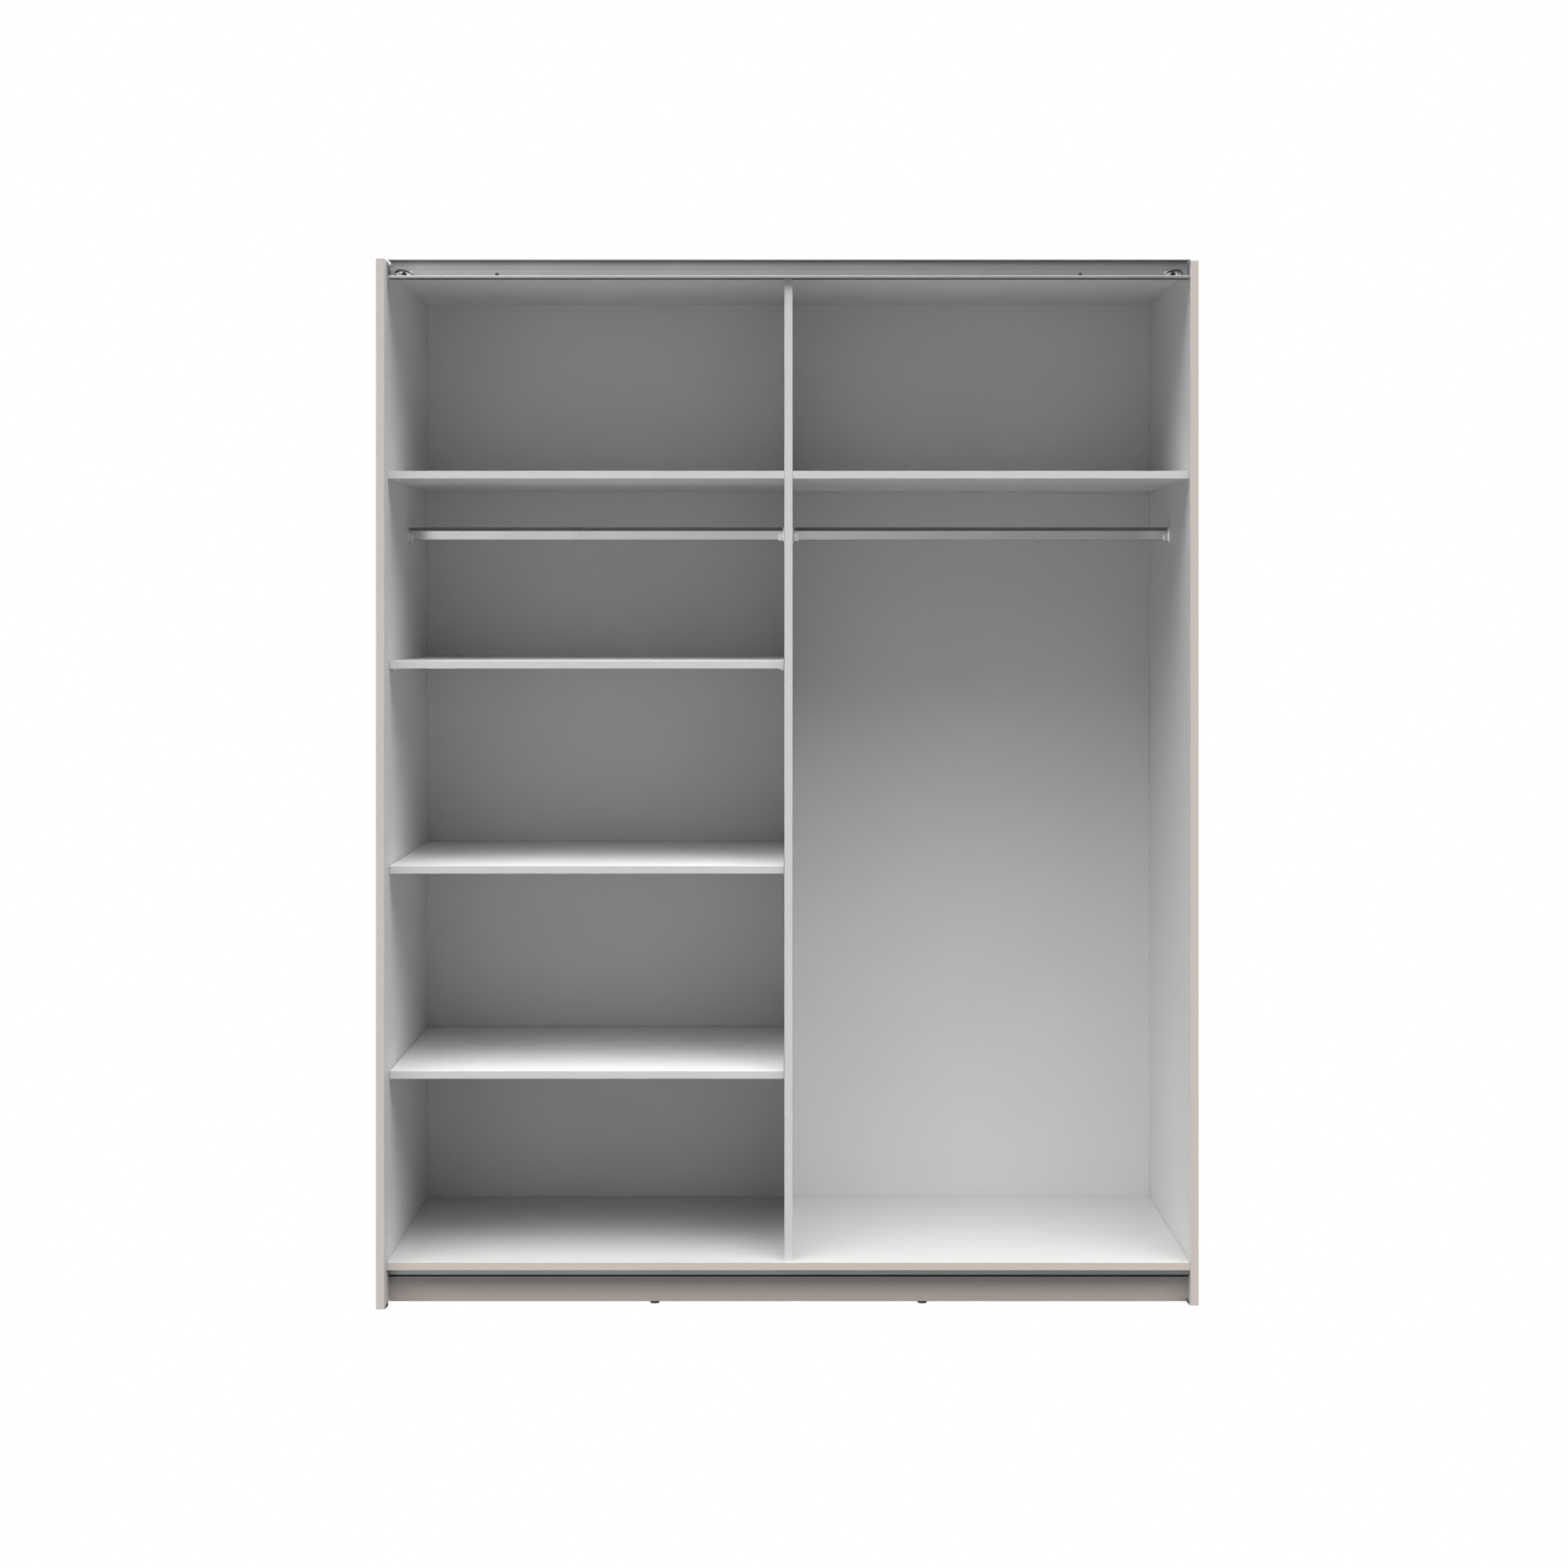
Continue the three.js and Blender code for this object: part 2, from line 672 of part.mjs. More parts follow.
for (const { end, sign } of sides) {
  const pinX = catchOuterX - catchPinInset;
  const plateInnerX = catchOuterX - catchPlateLength;
  const leafFrontY = catchPlateFrontY - seatGap - catchWidth;
  const leafRearY = catchPlateFrontY - seatGap;
  const curlInner = catchPinRadius + seatGap;
  const curlOuter = curlInner + catchCurlWall;

  // Everything is drawn for the left end and mirrored for the right one.
  const place = (geometry) => (sign < 0 ? geometry : mirrorX(geometry));

  const plateMiddleX = -(catchOuterX + plateInnerX) / 2;
  const plateShape = roundedRectangle(
    plateMiddleX,
    catchAxisZ,
    catchPlateLength,
    catchPlateHeight,
    catchPlateCorner,
  );
  const plate = alongY(plateShape, catchPlateFrontY, catchPlateRearY, 3);
  const pinBaseY = catchPlateRearY - catchPlateThickness / 2;
  const pin = rod('y', [-pinX, pinBaseY, catchAxisZ], catchPinRadius, leafFrontY - pinBaseY, 12);
  const screwX = -(catchOuterX - catchScrewInset);
  const holeLength = catchPlateThickness + overcut * 2;
  const holeStart = [screwX, catchPlateFrontY - overcut, catchAxisZ];
  const hole = rod('y', holeStart, screwShaftRadius + screwHoleGap, holeLength, 12);
  addMesh(`catch_plate_${end}`, place(carve([plate, pin], [hole])), zinc);

  const curl = rod('y', [-pinX, leafFrontY, catchAxisZ], curlOuter, catchWidth, 16);
  const boreStart = [-pinX, leafFrontY - overcut, catchAxisZ];
  const curlBore = rod('y', boreStart, curlInner, catchWidth + overcut * 2, 16);
  const leafPoints = leafLine.map(([u, v]) => [-pinX + u, catchAxisZ + v]);
  const leaf = alongY(leafOutline(leafPoints, catchCurlWall), leafFrontY, leafRearY);
  addMesh(`catch_spring_${end}`, place(carve([curl, leaf], [curlBore])), springSteel);

  const bufferX = -(catchOuterX - catchBufferInset);
  const buffer = turned(
    [
      [0, 0],
      [catchBufferRadius - padEdge, 0],
      [catchBufferRadius, padEdge],
      [catchBufferRadius, catchWidth],
      [0, catchWidth],
    ],
    0,
    0,
    0,
  );
  buffer.rotateX(-Math.PI / 2);
  buffer.translate(bufferX, leafFrontY, catchAxisZ);
  addMesh(`catch_buffer_${end}`, place(buffer), rubber);
}

// A mirrored copy with its faces turned to point outwards again.
function mirrorX(geometry) {
  const mirrored = positionOnly(geometry);
  mirrored.scale(-1, 1, 1);
  const index = mirrored.index.array;
  for (let first = 0; first < index.length; first += 3) {
    [index[first], index[first + 1]] = [index[first + 1], index[first]];
  }
  mirrored.computeVertexNormals();
  return mirrored;
}

// ---------------------------------------------------------------- bottom guide

// Box section with a slot along its front, under the bottom panel's overhang and against the plinth.
const guideRearY = plinthFrontY - seatGap;
const guideFrontY = guideRearY - guideDepth;
const guideTopZ = bottomPanelUnderZ - seatGap;
const guideLowZ = guideTopZ - guideHeight;
const guideSlotTopZ = guideTopZ - guideFaceHeight;
const guideSlotLowZ = guideSlotTopZ - guideSlotHeight;
const guideSection = outline([
  [guideFrontY, guideLowZ],
  [guideRearY, guideLowZ],
  [guideRearY, guideTopZ],
  [guideFrontY, guideTopZ],
  [guideFrontY, guideSlotTopZ],
  [guideFrontY + guideWall, guideSlotTopZ],
  [guideFrontY + guideWall, guideTopZ - guideWall],
  [guideRearY - guideWall, guideTopZ - guideWall],
  [guideRearY - guideWall, guideSlotLowZ],
  [guideFrontY, guideSlotLowZ],
]);
addMesh('bottom_guide', alongX(guideSection, ...boardSpanX), aluminium);

// ---------------------------------------------------------------- hanging rails and their cups

const railCentreZ = railBottomZ + railHeight / 2;
const cupOpenHalf = railWidth / 2 + seatGap;

// Tube of rounded section.
function railTube(x0, x1) {
  const section = roundedRectangle(railCentreY, railCentreZ, railWidth, railHeight, railCorner);
  const bore = roundedRectangle(
    railCentreY,
    railCentreZ,
    railWidth - railWall * 2,
    railHeight - railWall * 2,
    railCorner - railWall,
  );
  section.holes.push(bore);
  return alongX(section, x0, x1, 4);
}

// Low ridge with a rounded top that lies along the tube.
function railRidge(x0, x1) {
  const low = railBottomZ + railHeight + seatGap;
  const half = railStripWidth / 2;
  const round = railStripShoulder;
  const section = new THREE.Shape();
  section.moveTo(railCentreY - half, low);
  section.lineTo(railCentreY + half, low);
  section.lineTo(railCentreY + half, low + railStripHeight - round);
  section.absarc(railCentreY + half - round, low + railStripHeight - round, round, 0, Math.PI / 2, false);
  section.lineTo(railCentreY - half + round, low + railStripHeight);
  section.absarc(
    railCentreY - half + round,
    low + railStripHeight - round,
    round,
    Math.PI / 2,
    Math.PI,
    false,
  );
  section.lineTo(railCentreY - half, low);
  return alongX(section, x0, x1, 3);
}

// Wall plate with a saddle open at the top; out is +1 where it stands out along +X.
function railCup(name, wallX, out) {
  const plateX = [wallX + out * seatGap, wallX + out * (seatGap + cupPlateThickness)].sort((a, b) => a - b);
  const saddleX = [wallX + out * seatGap, wallX + out * (seatGap + cupDepth)].sort((a, b) => a - b);
  const plateCentreZ = railBottomZ - cupPlateBottomDrop + cupPlateHeight / 2;
  const plate = alongX(
    roundedRectangle(railCentreY, plateCentreZ, cupPlateWidth, cupPlateHeight, cupPlateCorner),
    ...plateX,
    3,
  );
  const outer = cupOpenHalf + cupWall;
  const innerRound = railCorner + seatGap;
  const outerRound = innerRound + cupWall;
  const seatZ = railBottomZ - seatGap;
  const floorZ = seatZ - cupWall;
  const topZ = seatZ + cupSideHeight;
  const saddle = new THREE.Shape();
  saddle.moveTo(railCentreY + outer, topZ);
  saddle.lineTo(railCentreY + cupOpenHalf, topZ);
  saddle.lineTo(railCentreY + cupOpenHalf, seatZ + innerRound);
  const innerY = cupOpenHalf - innerRound;
  saddle.absarc(railCentreY + innerY, seatZ + innerRound, innerRound, 0, -Math.PI / 2, true);
  saddle.lineTo(railCentreY - innerY, seatZ);
  saddle.absarc(railCentreY - innerY, seatZ + innerRound, innerRound, -Math.PI / 2, -Math.PI, true);
  saddle.lineTo(railCentreY - cupOpenHalf, topZ);
  saddle.lineTo(railCentreY - outer, topZ);
  saddle.lineTo(railCentreY - outer, floorZ + outerRound);
  const outerY = outer - outerRound;
  saddle.absarc(railCentreY - outerY, floorZ + outerRound, outerRound, Math.PI, Math.PI * 1.5, false);
  saddle.lineTo(railCentreY + outerY, floorZ);
  saddle.absarc(railCentreY + outerY, floorZ + outerRound, outerRound, -Math.PI / 2, 0, false);
  addMesh(name, carve([plate, alongX(saddle, ...saddleX, 6)], []), zinc);
}

for (const [bay, [x0, x1]] of Object.entries(bays)) {
  const endInset = seatGap + cupPlateThickness + railEndGap;
  const tubeX = [x0 + endInset, x1 - endInset];
  addMesh(`hanging_rail_${bay}`, railTube(...tubeX), aluminium);
  const stripX = [tubeX[0] + railStripEndGap, tubeX[1] - railStripEndGap];
  addMesh(`rail_strip_${bay}`, railRidge(...stripX), greyPlastic);
  railCup(`rail_cup_${bay}_start`, x0, 1);
  railCup(`rail_cup_${bay}_end`, x1, -1);
}

// ---------------------------------------------------------------- plugs in the side panels' inner faces

for (const { end, sign } of sides) {
  const faceX = sign * (innerX - seatGap);
  const head = turned(
    [
      [0, 0],
      [plugRadius - capEdge, 0],
      [plugRadius, capEdge],
      [plugRadius, plugHead],
      [plugPinRadius, plugHead],
      [plugPinRadius, plugHead + plugPinLength],
      [0, plugHead + plugPinLength],
    ],
    0,
    0,
    0,
    12,
  );
  head.rotateY(sign * (Math.PI / 2));
  head.translate(faceX - sign * plugHead, plugY, plugZ);
  addMesh(`hole_plug_${end}`, head, whitePlastic);
}

export default wardrobe;
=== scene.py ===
import math

import bmesh
import bpy
import numpy as np
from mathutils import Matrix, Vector


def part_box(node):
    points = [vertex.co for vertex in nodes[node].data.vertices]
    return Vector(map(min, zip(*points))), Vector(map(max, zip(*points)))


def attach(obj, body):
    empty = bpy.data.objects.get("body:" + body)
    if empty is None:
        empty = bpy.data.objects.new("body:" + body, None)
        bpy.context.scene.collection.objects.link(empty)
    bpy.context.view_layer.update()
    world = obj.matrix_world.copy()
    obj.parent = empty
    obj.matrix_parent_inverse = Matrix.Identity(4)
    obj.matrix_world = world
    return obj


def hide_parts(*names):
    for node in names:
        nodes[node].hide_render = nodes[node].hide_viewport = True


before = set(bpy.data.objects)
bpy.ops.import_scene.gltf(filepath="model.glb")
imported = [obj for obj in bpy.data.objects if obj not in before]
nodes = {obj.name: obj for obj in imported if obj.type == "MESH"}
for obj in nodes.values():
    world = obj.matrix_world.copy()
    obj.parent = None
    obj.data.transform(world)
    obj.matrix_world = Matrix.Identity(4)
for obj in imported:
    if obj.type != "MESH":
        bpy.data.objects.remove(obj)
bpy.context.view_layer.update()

mm = 0.001
print("frame loaded:", len(nodes), "nodes")

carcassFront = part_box("side_panel_right")[0].y

# Camera: level, straight on, a little above the middle, framed by shift
camera = {
    "distance": 4.9,  # from the carcass front
    "height": 1.3625,
    "lens": 57.68,
    "sensor": 36.0,
    "shiftX": -0.00285,
    "shiftY": -0.1108,
}
cameraData = bpy.data.cameras.new("studioCamera")
cameraData.lens = camera["lens"]
cameraData.sensor_width = camera["sensor"]
cameraData.shift_x = camera["shiftX"]
cameraData.shift_y = camera["shiftY"]
cameraObject = bpy.data.objects.new("studioCamera", cameraData)
cameraObject.location = (0, carcassFront - camera["distance"], camera["height"])
cameraObject.rotation_euler = (math.pi / 2, 0, 0)
bpy.context.scene.collection.objects.link(cameraObject)
bpy.context.scene.camera = cameraObject
bpy.context.scene.view_settings.view_transform = "Standard"
print("camera placed")


# Colours and nodes

def toLinear(hexColour):
    # sRGB hex to linear: c / 12.92 below 0.04045, else ((c + 0.055) / 1.055) ^ 2.4
    channels = [int(hexColour[i:i + 2], 16) / 255 for i in (1, 3, 5)]
    linear = [c / 12.92 if c <= 0.04045 else ((c + 0.055) / 1.055) ** 2.4 for c in channels]
    return (*linear, 1.0)


def addNode(tree, kind, inputs=None, **settings):
    # a node with its settings; an input is a value, a socket, or a node whose main output it takes
    node = tree.nodes.new("ShaderNode" + kind)
    for name, value in settings.items():
        setattr(node, name, value)
    for key, value in (inputs or {}).items():
        if isinstance(key, int):
            socket = node.inputs[key]
        else:
            socket = next(s for s in node.inputs if s.name == key and s.enabled)
        if isinstance(value, bpy.types.Node):
            value = next(s for s in value.outputs if s.enabled)
        if isinstance(value, bpy.types.NodeSocket):
            tree.links.new(value, socket)
        else:
            socket.default_value = value
    return node


def startMaterial(name):
    material = bpy.data.materials.new(name)
    material.use_nodes = True
    tree = material.node_tree
    tree.nodes.clear()
    return material, tree, addNode(tree, "TexCoord")


def finishMaterial(tree, colour, roughness, height, depthMm, metallic=0.0, specular=0.5):
    # the surface shader, with a bump as deep as the real relief
    bump = addNode(tree, "Bump", {"Height": height, "Distance": depthMm * mm, "Strength": 1.0})
    shader = addNode(tree, "BsdfPrincipled", {
        "Base Color": colour,
        "Roughness": roughness,
        "Metallic": metallic,
        "Specular IOR Level": specular,
        "Normal": bump,
    })
    addNode(tree, "OutputMaterial", {"Surface": shader.outputs["BSDF"]})


# Materials

melamine = {
    "white": "#E5E5E5",
    # painted shade: the same white as the other boards, darkened for the bottom panel so that it looks less
    # lit
    "whiteShadedFloor": "#C9C9C9",
    "whiteBand": "#D8D8D8",
    "cashmere": "#D5CBC5",
    "cashmereLow": "#E4DAD1",
    "worn": "#B9B4AD",
    "rubbed": "#8D877F",
    "pearlMm": 2.2,  # the pressed grain is about 0.5 mm; drawn coarser so that it shows
    "pearlDepthMm": 0.012,
    "cloudMm": 320,
    "handledMm": 90,
    "roughness": (0.42, 0.52),
    "bandMm": 0.9,
    "seamMm": 0.12,
    "seamDepth": 9.0,  # in pearl depths, as is the next
    "chipDepth": 12.0,
    "wearMm": (1.3, 0.2),  # from an arris: where the wear starts, and where it is full
    "chips": ("#8F6E46", "#C9A878", "#E0C79C"),
    "chipMm": 5.0,
}


def melamineBoard(name, low, high, faceHex, bandHex, outerX=0):
    # melamine-faced chipboard, pressed and satin: a finely pearled face, an even edge band in front with a
    # hairline seam behind it, arrises rubbed a little duller, and raw chips showing on the rear edges.
    # outerX is the side of the board that is cashmere too.
    material, tree, coordinates = startMaterial(name)
    place = coordinates.outputs["Object"]
    pearl = addNode(tree, "TexNoise", {"Vector": place, "Scale": 1000 / melamine["pearlMm"], "Detail": 3.0})
    cloud = addNode(tree, "TexNoise", {"Vector": place, "Scale": 1000 / melamine["cloudMm"], "Detail": 2.0})
    handled = addNode(tree, "TexNoise", {
        "Vector": place, "Scale": 1000 / melamine["handledMm"], "Detail": 4.0,
    })
    normal = addNode(tree, "SeparateXYZ", {"Vector": coordinates.outputs["Normal"]})
    point = addNode(tree, "SeparateXYZ", {"Vector": place})

    # which faces are banded, and which is the raw rear edge
    banded = addNode(tree, "Math", {0: normal.outputs["Y"], 1: -0.6}, operation="LESS_THAN")
    if outerX:
        outward = addNode(tree, "Math", {0: normal.outputs["X"], 1: outerX}, operation="MULTIPLY")
        outside = addNode(tree, "Math", {0: outward, 1: 0.6}, operation="GREATER_THAN")
        onTop = addNode(tree, "Math", {0: normal.outputs["Z"], 1: 0.6}, operation="GREATER_THAN")
        banded = addNode(tree, "Math", {0: banded, 1: outside}, operation="MAXIMUM")
        banded = addNode(tree, "Math", {0: banded, 1: onTop}, operation="MAXIMUM")
    raw = addNode(tree, "Math", {0: normal.outputs["Y"], 1: 0.6}, operation="GREATER_THAN")

    # distance to the nearest arris: the middle one of the three distances to the board's faces
    centre = [(a + b) / 2 for a, b in zip(low, high)]
    half = [(b - a) / 2 for a, b in zip(low, high)]
    offset = addNode(tree, "VectorMath", {0: place, 1: centre}, operation="SUBTRACT")
    size = addNode(tree, "VectorMath", {0: offset.outputs["Vector"]}, operation="ABSOLUTE")
    inside = addNode(tree, "VectorMath", {0: half, 1: size.outputs["Vector"]}, operation="SUBTRACT")
    gap = addNode(tree, "SeparateXYZ", {"Vector": inside.outputs["Vector"]})
    lower = addNode(tree, "Math", {0: gap.outputs["X"], 1: gap.outputs["Y"]}, operation="MINIMUM")
    upper = addNode(tree, "Math", {0: gap.outputs["X"], 1: gap.outputs["Y"]}, operation="MAXIMUM")
    capped = addNode(tree, "Math", {0: upper, 1: gap.outputs["Z"]}, operation="MINIMUM")
    arris = addNode(tree, "Math", {0: lower, 1: capped}, operation="MAXIMUM")
    wearStart, wearFull = melamine["wearMm"]
    wear = addNode(tree, "MapRange", {
        "Value": arris, "From Min": wearStart * mm, "From Max": wearFull * mm, "To Min": 0.0, "To Max": 1.0,
    })
    patchy = addNode(tree, "MapRange", {"Value": handled, "From Min": 0.42, "From Max": 0.62})
    wear = addNode(tree, "Math", {0: wear, 1: patchy}, operation="MULTIPLY")

    # colour: face, band, seam, wear, raw chips
    tone = addNode(tree, "MapRange", {
        "Value": cloud, "From Min": 0.3, "From Max": 0.7, "To Min": 0.0, "To Max": 0.06,
    })
    faceTone = addNode(tree, "Mix", {
        "Factor": tone, "A": toLinear(faceHex), "B": toLinear(melamine["worn"]),
    }, data_type="RGBA")
    bandTone = addNode(tree, "Mix", {
        "Factor": tone, "A": toLinear(bandHex), "B": toLinear(melamine["worn"]),
    }, data_type="RGBA")
    colour = addNode(tree, "Mix", {"Factor": banded, "A": faceTone, "B": bandTone}, data_type="RGBA")
    grained = addNode(tree, "MapRange", {
        "Value": pearl, "From Min": 0.3, "From Max": 0.7, "To Min": 0.97, "To Max": 1.02,
    })
    colour = addNode(tree, "Mix", {
        "Factor": 1.0, "A": colour, "B": grained,
    }, data_type="RGBA", blend_type="MULTIPLY")
    seamY = low[1] + melamine["bandMm"] * mm
    behindBand = addNode(tree, "Math", {0: point.outputs["Y"], 1: seamY}, operation="SUBTRACT")
    fromSeam = addNode(tree, "Math", {0: behindBand}, operation="ABSOLUTE")
    seamWidth = melamine["seamMm"] * mm
    seam = addNode(tree, "MapRange", {
        "Value": fromSeam, "From Min": seamWidth, "From Max": 0.0, "To Min": 0.0, "To Max": 0.35,
    })
    marks = addNode(tree, "Math", {0: wear, 1: 0.35, 2: seam}, operation="MULTIPLY_ADD")
    colour = addNode(tree, "Mix", {
        "Factor": marks, "A": colour, "B": toLinear(melamine["rubbed"]),
    }, data_type="RGBA")
    chips = addNode(tree, "TexVoronoi", {"Vector": place, "Scale": 1000 / melamine["chipMm"]})
    darkChip, midChip, lightChip = melamine["chips"]
    chipShade = addNode(tree, "SeparateColor", {"Color": chips.outputs["Color"]})
    chipDark = addNode(tree, "Mix", {
        "Factor": chipShade.outputs["Red"], "A": toLinear(darkChip), "B": toLinear(midChip),
    }, data_type="RGBA")
    chipColour = addNode(tree, "Mix", {
        "Factor": chipShade.outputs["Green"], "A": chipDark, "B": toLinear(lightChip),
    }, data_type="RGBA")
    colour = addNode(tree, "Mix", {"Factor": raw, "A": colour, "B": chipColour}, data_type="RGBA")

    # roughness: satin, duller where rubbed and on raw chips
    satinLow, satinHigh = melamine["roughness"]
    satin = addNode(tree, "MapRange", {
        "Value": handled, "From Min": 0.3, "From Max": 0.7, "To Min": satinLow, "To Max": satinHigh,
    })
    rubbed = addNode(tree, "Math", {0: wear, 1: 0.15, 2: satin}, operation="MULTIPLY_ADD")
    roughness = addNode(tree, "Math", {0: raw, 1: 0.4, 2: rubbed}, operation="MULTIPLY_ADD")

    # relief: pearl on the faces, deep chips on the raw edge, a groove at the seam
    rawChips = addNode(tree, "Math", {0: chips.outputs["Distance"], 1: raw}, operation="MULTIPLY")
    chipDepth, seamDepth = melamine["chipDepth"], melamine["seamDepth"]
    relief = addNode(tree, "Math", {0: rawChips, 1: chipDepth, 2: pearl}, operation="MULTIPLY_ADD")
    relief = addNode(tree, "Math", {0: seam, 1: -seamDepth, 2: relief}, operation="MULTIPLY_ADD")
    finishMaterial(tree, colour, roughness, relief, melamine["pearlDepthMm"], specular=0.35)
    return material


hardboard = {
    "lacquer": "#DFDFDF",
    "lacquerShade": "#C9C9C9",
    "fibre": "#9C7A55",
    "fibreDark": "#7A5B3A",
    "fibreMm": 1.6,
    "fibreDepth": 6.0,  # in depths of the orange peel
    "peelMm": 3.5,
    "peelDepthMm": 0.02,
    "cloudMm": 260,
}


def lacqueredHardboard(name):
    # thin wet-process hardboard, roller lacquered in front: a flat white with faint orange peel, and behind
    # it bare brown fibres
    material, tree, coordinates = startMaterial(name)
    place = coordinates.outputs["Object"]
    normal = addNode(tree, "SeparateXYZ", {"Vector": coordinates.outputs["Normal"]})
    behind = addNode(tree, "Math", {0: normal.outputs["Y"], 1: 0.5}, operation="GREATER_THAN")
    cloud = addNode(tree, "TexNoise", {"Vector": place, "Scale": 1000 / hardboard["cloudMm"], "Detail": 2.0})
    peel = addNode(tree, "TexNoise", {"Vector": place, "Scale": 1000 / hardboard["peelMm"], "Detail": 2.0})
    lying = addNode(tree, "Mapping", {"Vector": place, "Scale": (0.3, 1.0, 1.0)})
    fibre = addNode(tree, "TexNoise", {"Vector": lying, "Scale": 1000 / hardboard["fibreMm"], "Detail": 5.0})
    tone = addNode(tree, "MapRange", {
        "Value": cloud, "From Min": 0.3, "From Max": 0.7, "To Min": 0.0, "To Max": 0.15,
    })
    front = addNode(tree, "Mix", {
        "Factor": tone, "A": toLinear(hardboard["lacquer"]), "B": toLinear(hardboard["lacquerShade"]),
    }, data_type="RGBA")
    bare = addNode(tree, "Mix", {
        "Factor": fibre, "A": toLinear(hardboard["fibre"]), "B": toLinear(hardboard["fibreDark"]),
    }, data_type="RGBA")
    colour = addNode(tree, "Mix", {"Factor": behind, "A": front, "B": bare}, data_type="RGBA")
    sheen = addNode(tree, "MapRange", {
        "Value": cloud, "From Min": 0.3, "From Max": 0.7, "To Min": 0.42, "To Max": 0.52,
    })
    roughness = addNode(tree, "Math", {0: behind, 1: 0.36, 2: sheen}, operation="MULTIPLY_ADD")
    bareRelief = addNode(tree, "Math", {0: fibre, 1: behind}, operation="MULTIPLY")
    fibreDepth = hardboard["fibreDepth"]
    relief = addNode(tree, "Math", {0: bareRelief, 1: fibreDepth, 2: peel}, operation="MULTIPLY_ADD")
    finishMaterial(tree, colour, roughness, relief, hardboard["peelDepthMm"], specular=0.35)
    return material


anodised = {
    "cloudMm": 70,
    "rubMm": 9,
    "lineStretch": 0.002,  # along X, so that the die lines run on
    "lineDepthMm": 0.02,
    # painted shade: the dark grey laid where shade falls, on the underside and above the given height
    "paintedShadeGrey": "#3E3E3F",
    "paintedShadeShare": 0.75,
    "glossSpread": 0.04,
    "nowhere": 10.0,  # a height above everything
}


def anodisedAluminium(name, hexColour, lineHex, roughness, metallic, lineMm, paintedShadeAbove=anodised["nowhere"]):
    # extruded aluminium, satin anodised: an even grey with fine die lines along its length, a slow change of
    # gloss, and small dull rubs; its underside, and all that is above the given height, get a painted shade
    # of dark grey
    material, tree, coordinates = startMaterial(name)
    place = coordinates.outputs["Object"]
    drawn = addNode(tree, "Mapping", {"Vector": place, "Scale": (anodised["lineStretch"], 1.0, 1.0)})
    lines = addNode(tree, "TexNoise", {"Vector": drawn, "Scale": 1000 / lineMm, "Detail": 3.0})
    cloud = addNode(tree, "TexNoise", {"Vector": place, "Scale": 1000 / anodised["cloudMm"], "Detail": 3.0})
    rubs = addNode(tree, "TexNoise", {"Vector": place, "Scale": 1000 / anodised["rubMm"], "Detail": 5.0})
    tone = addNode(tree, "MapRange", {
        "Value": lines, "From Min": 0.3, "From Max": 0.7, "To Min": 0.0, "To Max": 0.5,
    })
    colour = addNode(tree, "Mix", {
        "Factor": tone, "A": toLinear(hexColour), "B": toLinear(lineHex),
    }, data_type="RGBA")
    normal = addNode(tree, "SeparateXYZ", {"Vector": coordinates.outputs["Normal"]})
    point = addNode(tree, "SeparateXYZ", {"Vector": place})
    # painted shade: faces turned down, and everything above the given height, are darkened as if in shade
    under = addNode(tree, "Math", {0: normal.outputs["Z"], 1: -0.6}, operation="LESS_THAN")
    above = addNode(tree, "Math", {0: point.outputs["Z"], 1: paintedShadeAbove}, operation="GREATER_THAN")
    paintedShadeMask = addNode(tree, "Math", {0: under, 1: above}, operation="MAXIMUM")
    paintedShadeMask = addNode(tree, "Math", {0: paintedShadeMask, 1: anodised["paintedShadeShare"]}, operation="MULTIPLY")
    colour = addNode(tree, "Mix", {
        "Factor": paintedShadeMask, "A": colour, "B": toLinear(anodised["paintedShadeGrey"]),
    }, data_type="RGBA")
    spread = anodised["glossSpread"]
    gloss = addNode(tree, "MapRange", {
        "Value": cloud, "From Min": 0.3, "From Max": 0.7,
        "To Min": roughness - spread, "To Max": roughness + spread,
    })
    rub = addNode(tree, "MapRange", {
        "Value": rubs, "From Min": 0.58, "From Max": 0.72, "To Min": 0.0, "To Max": 0.1,
    })
    rough = addNode(tree, "Math", {0: gloss, 1: rub}, operation="ADD")
    finishMaterial(tree, colour, rough, lines, anodised["lineDepthMm"], metallic)
    return material


plated = {"spangleMm": 1.5, "rubMm": 4, "rubDepthMm": 0.015}


def platedSteel(name, hexColour, shadeHex, roughness):
    # pressed or turned steel, bright zinc plated: pale and faintly blue, with a fine crystal spangle and
    # duller rubbed patches
    material, tree, coordinates = startMaterial(name)
    place = coordinates.outputs["Object"]
    spangle = addNode(tree, "TexVoronoi", {"Vector": place, "Scale": 1000 / plated["spangleMm"]})
    rubs = addNode(tree, "TexNoise", {"Vector": place, "Scale": 1000 / plated["rubMm"], "Detail": 4.0})
    tone = addNode(tree, "MapRange", {
        "Value": spangle.outputs["Distance"], "From Min": 0.0, "From Max": 1.0, "To Min": 0.0, "To Max": 0.6,
    })
    colour = addNode(tree, "Mix", {
        "Factor": tone, "A": toLinear(hexColour), "B": toLinear(shadeHex),
    }, data_type="RGBA")
    rough = addNode(tree, "MapRange", {
        "Value": rubs, "From Min": 0.3, "From Max": 0.7,
        "To Min": roughness - 0.06, "To Max": roughness + 0.1,
    })
    finishMaterial(tree, colour, rough, rubs, plated["rubDepthMm"], metallic=1.0)
    return material


blued = {"oil": "#2A2B2E", "tint": "#3B332C", "tintMm": 6, "lineMm": 0.5, "lineDepthMm": 0.01}


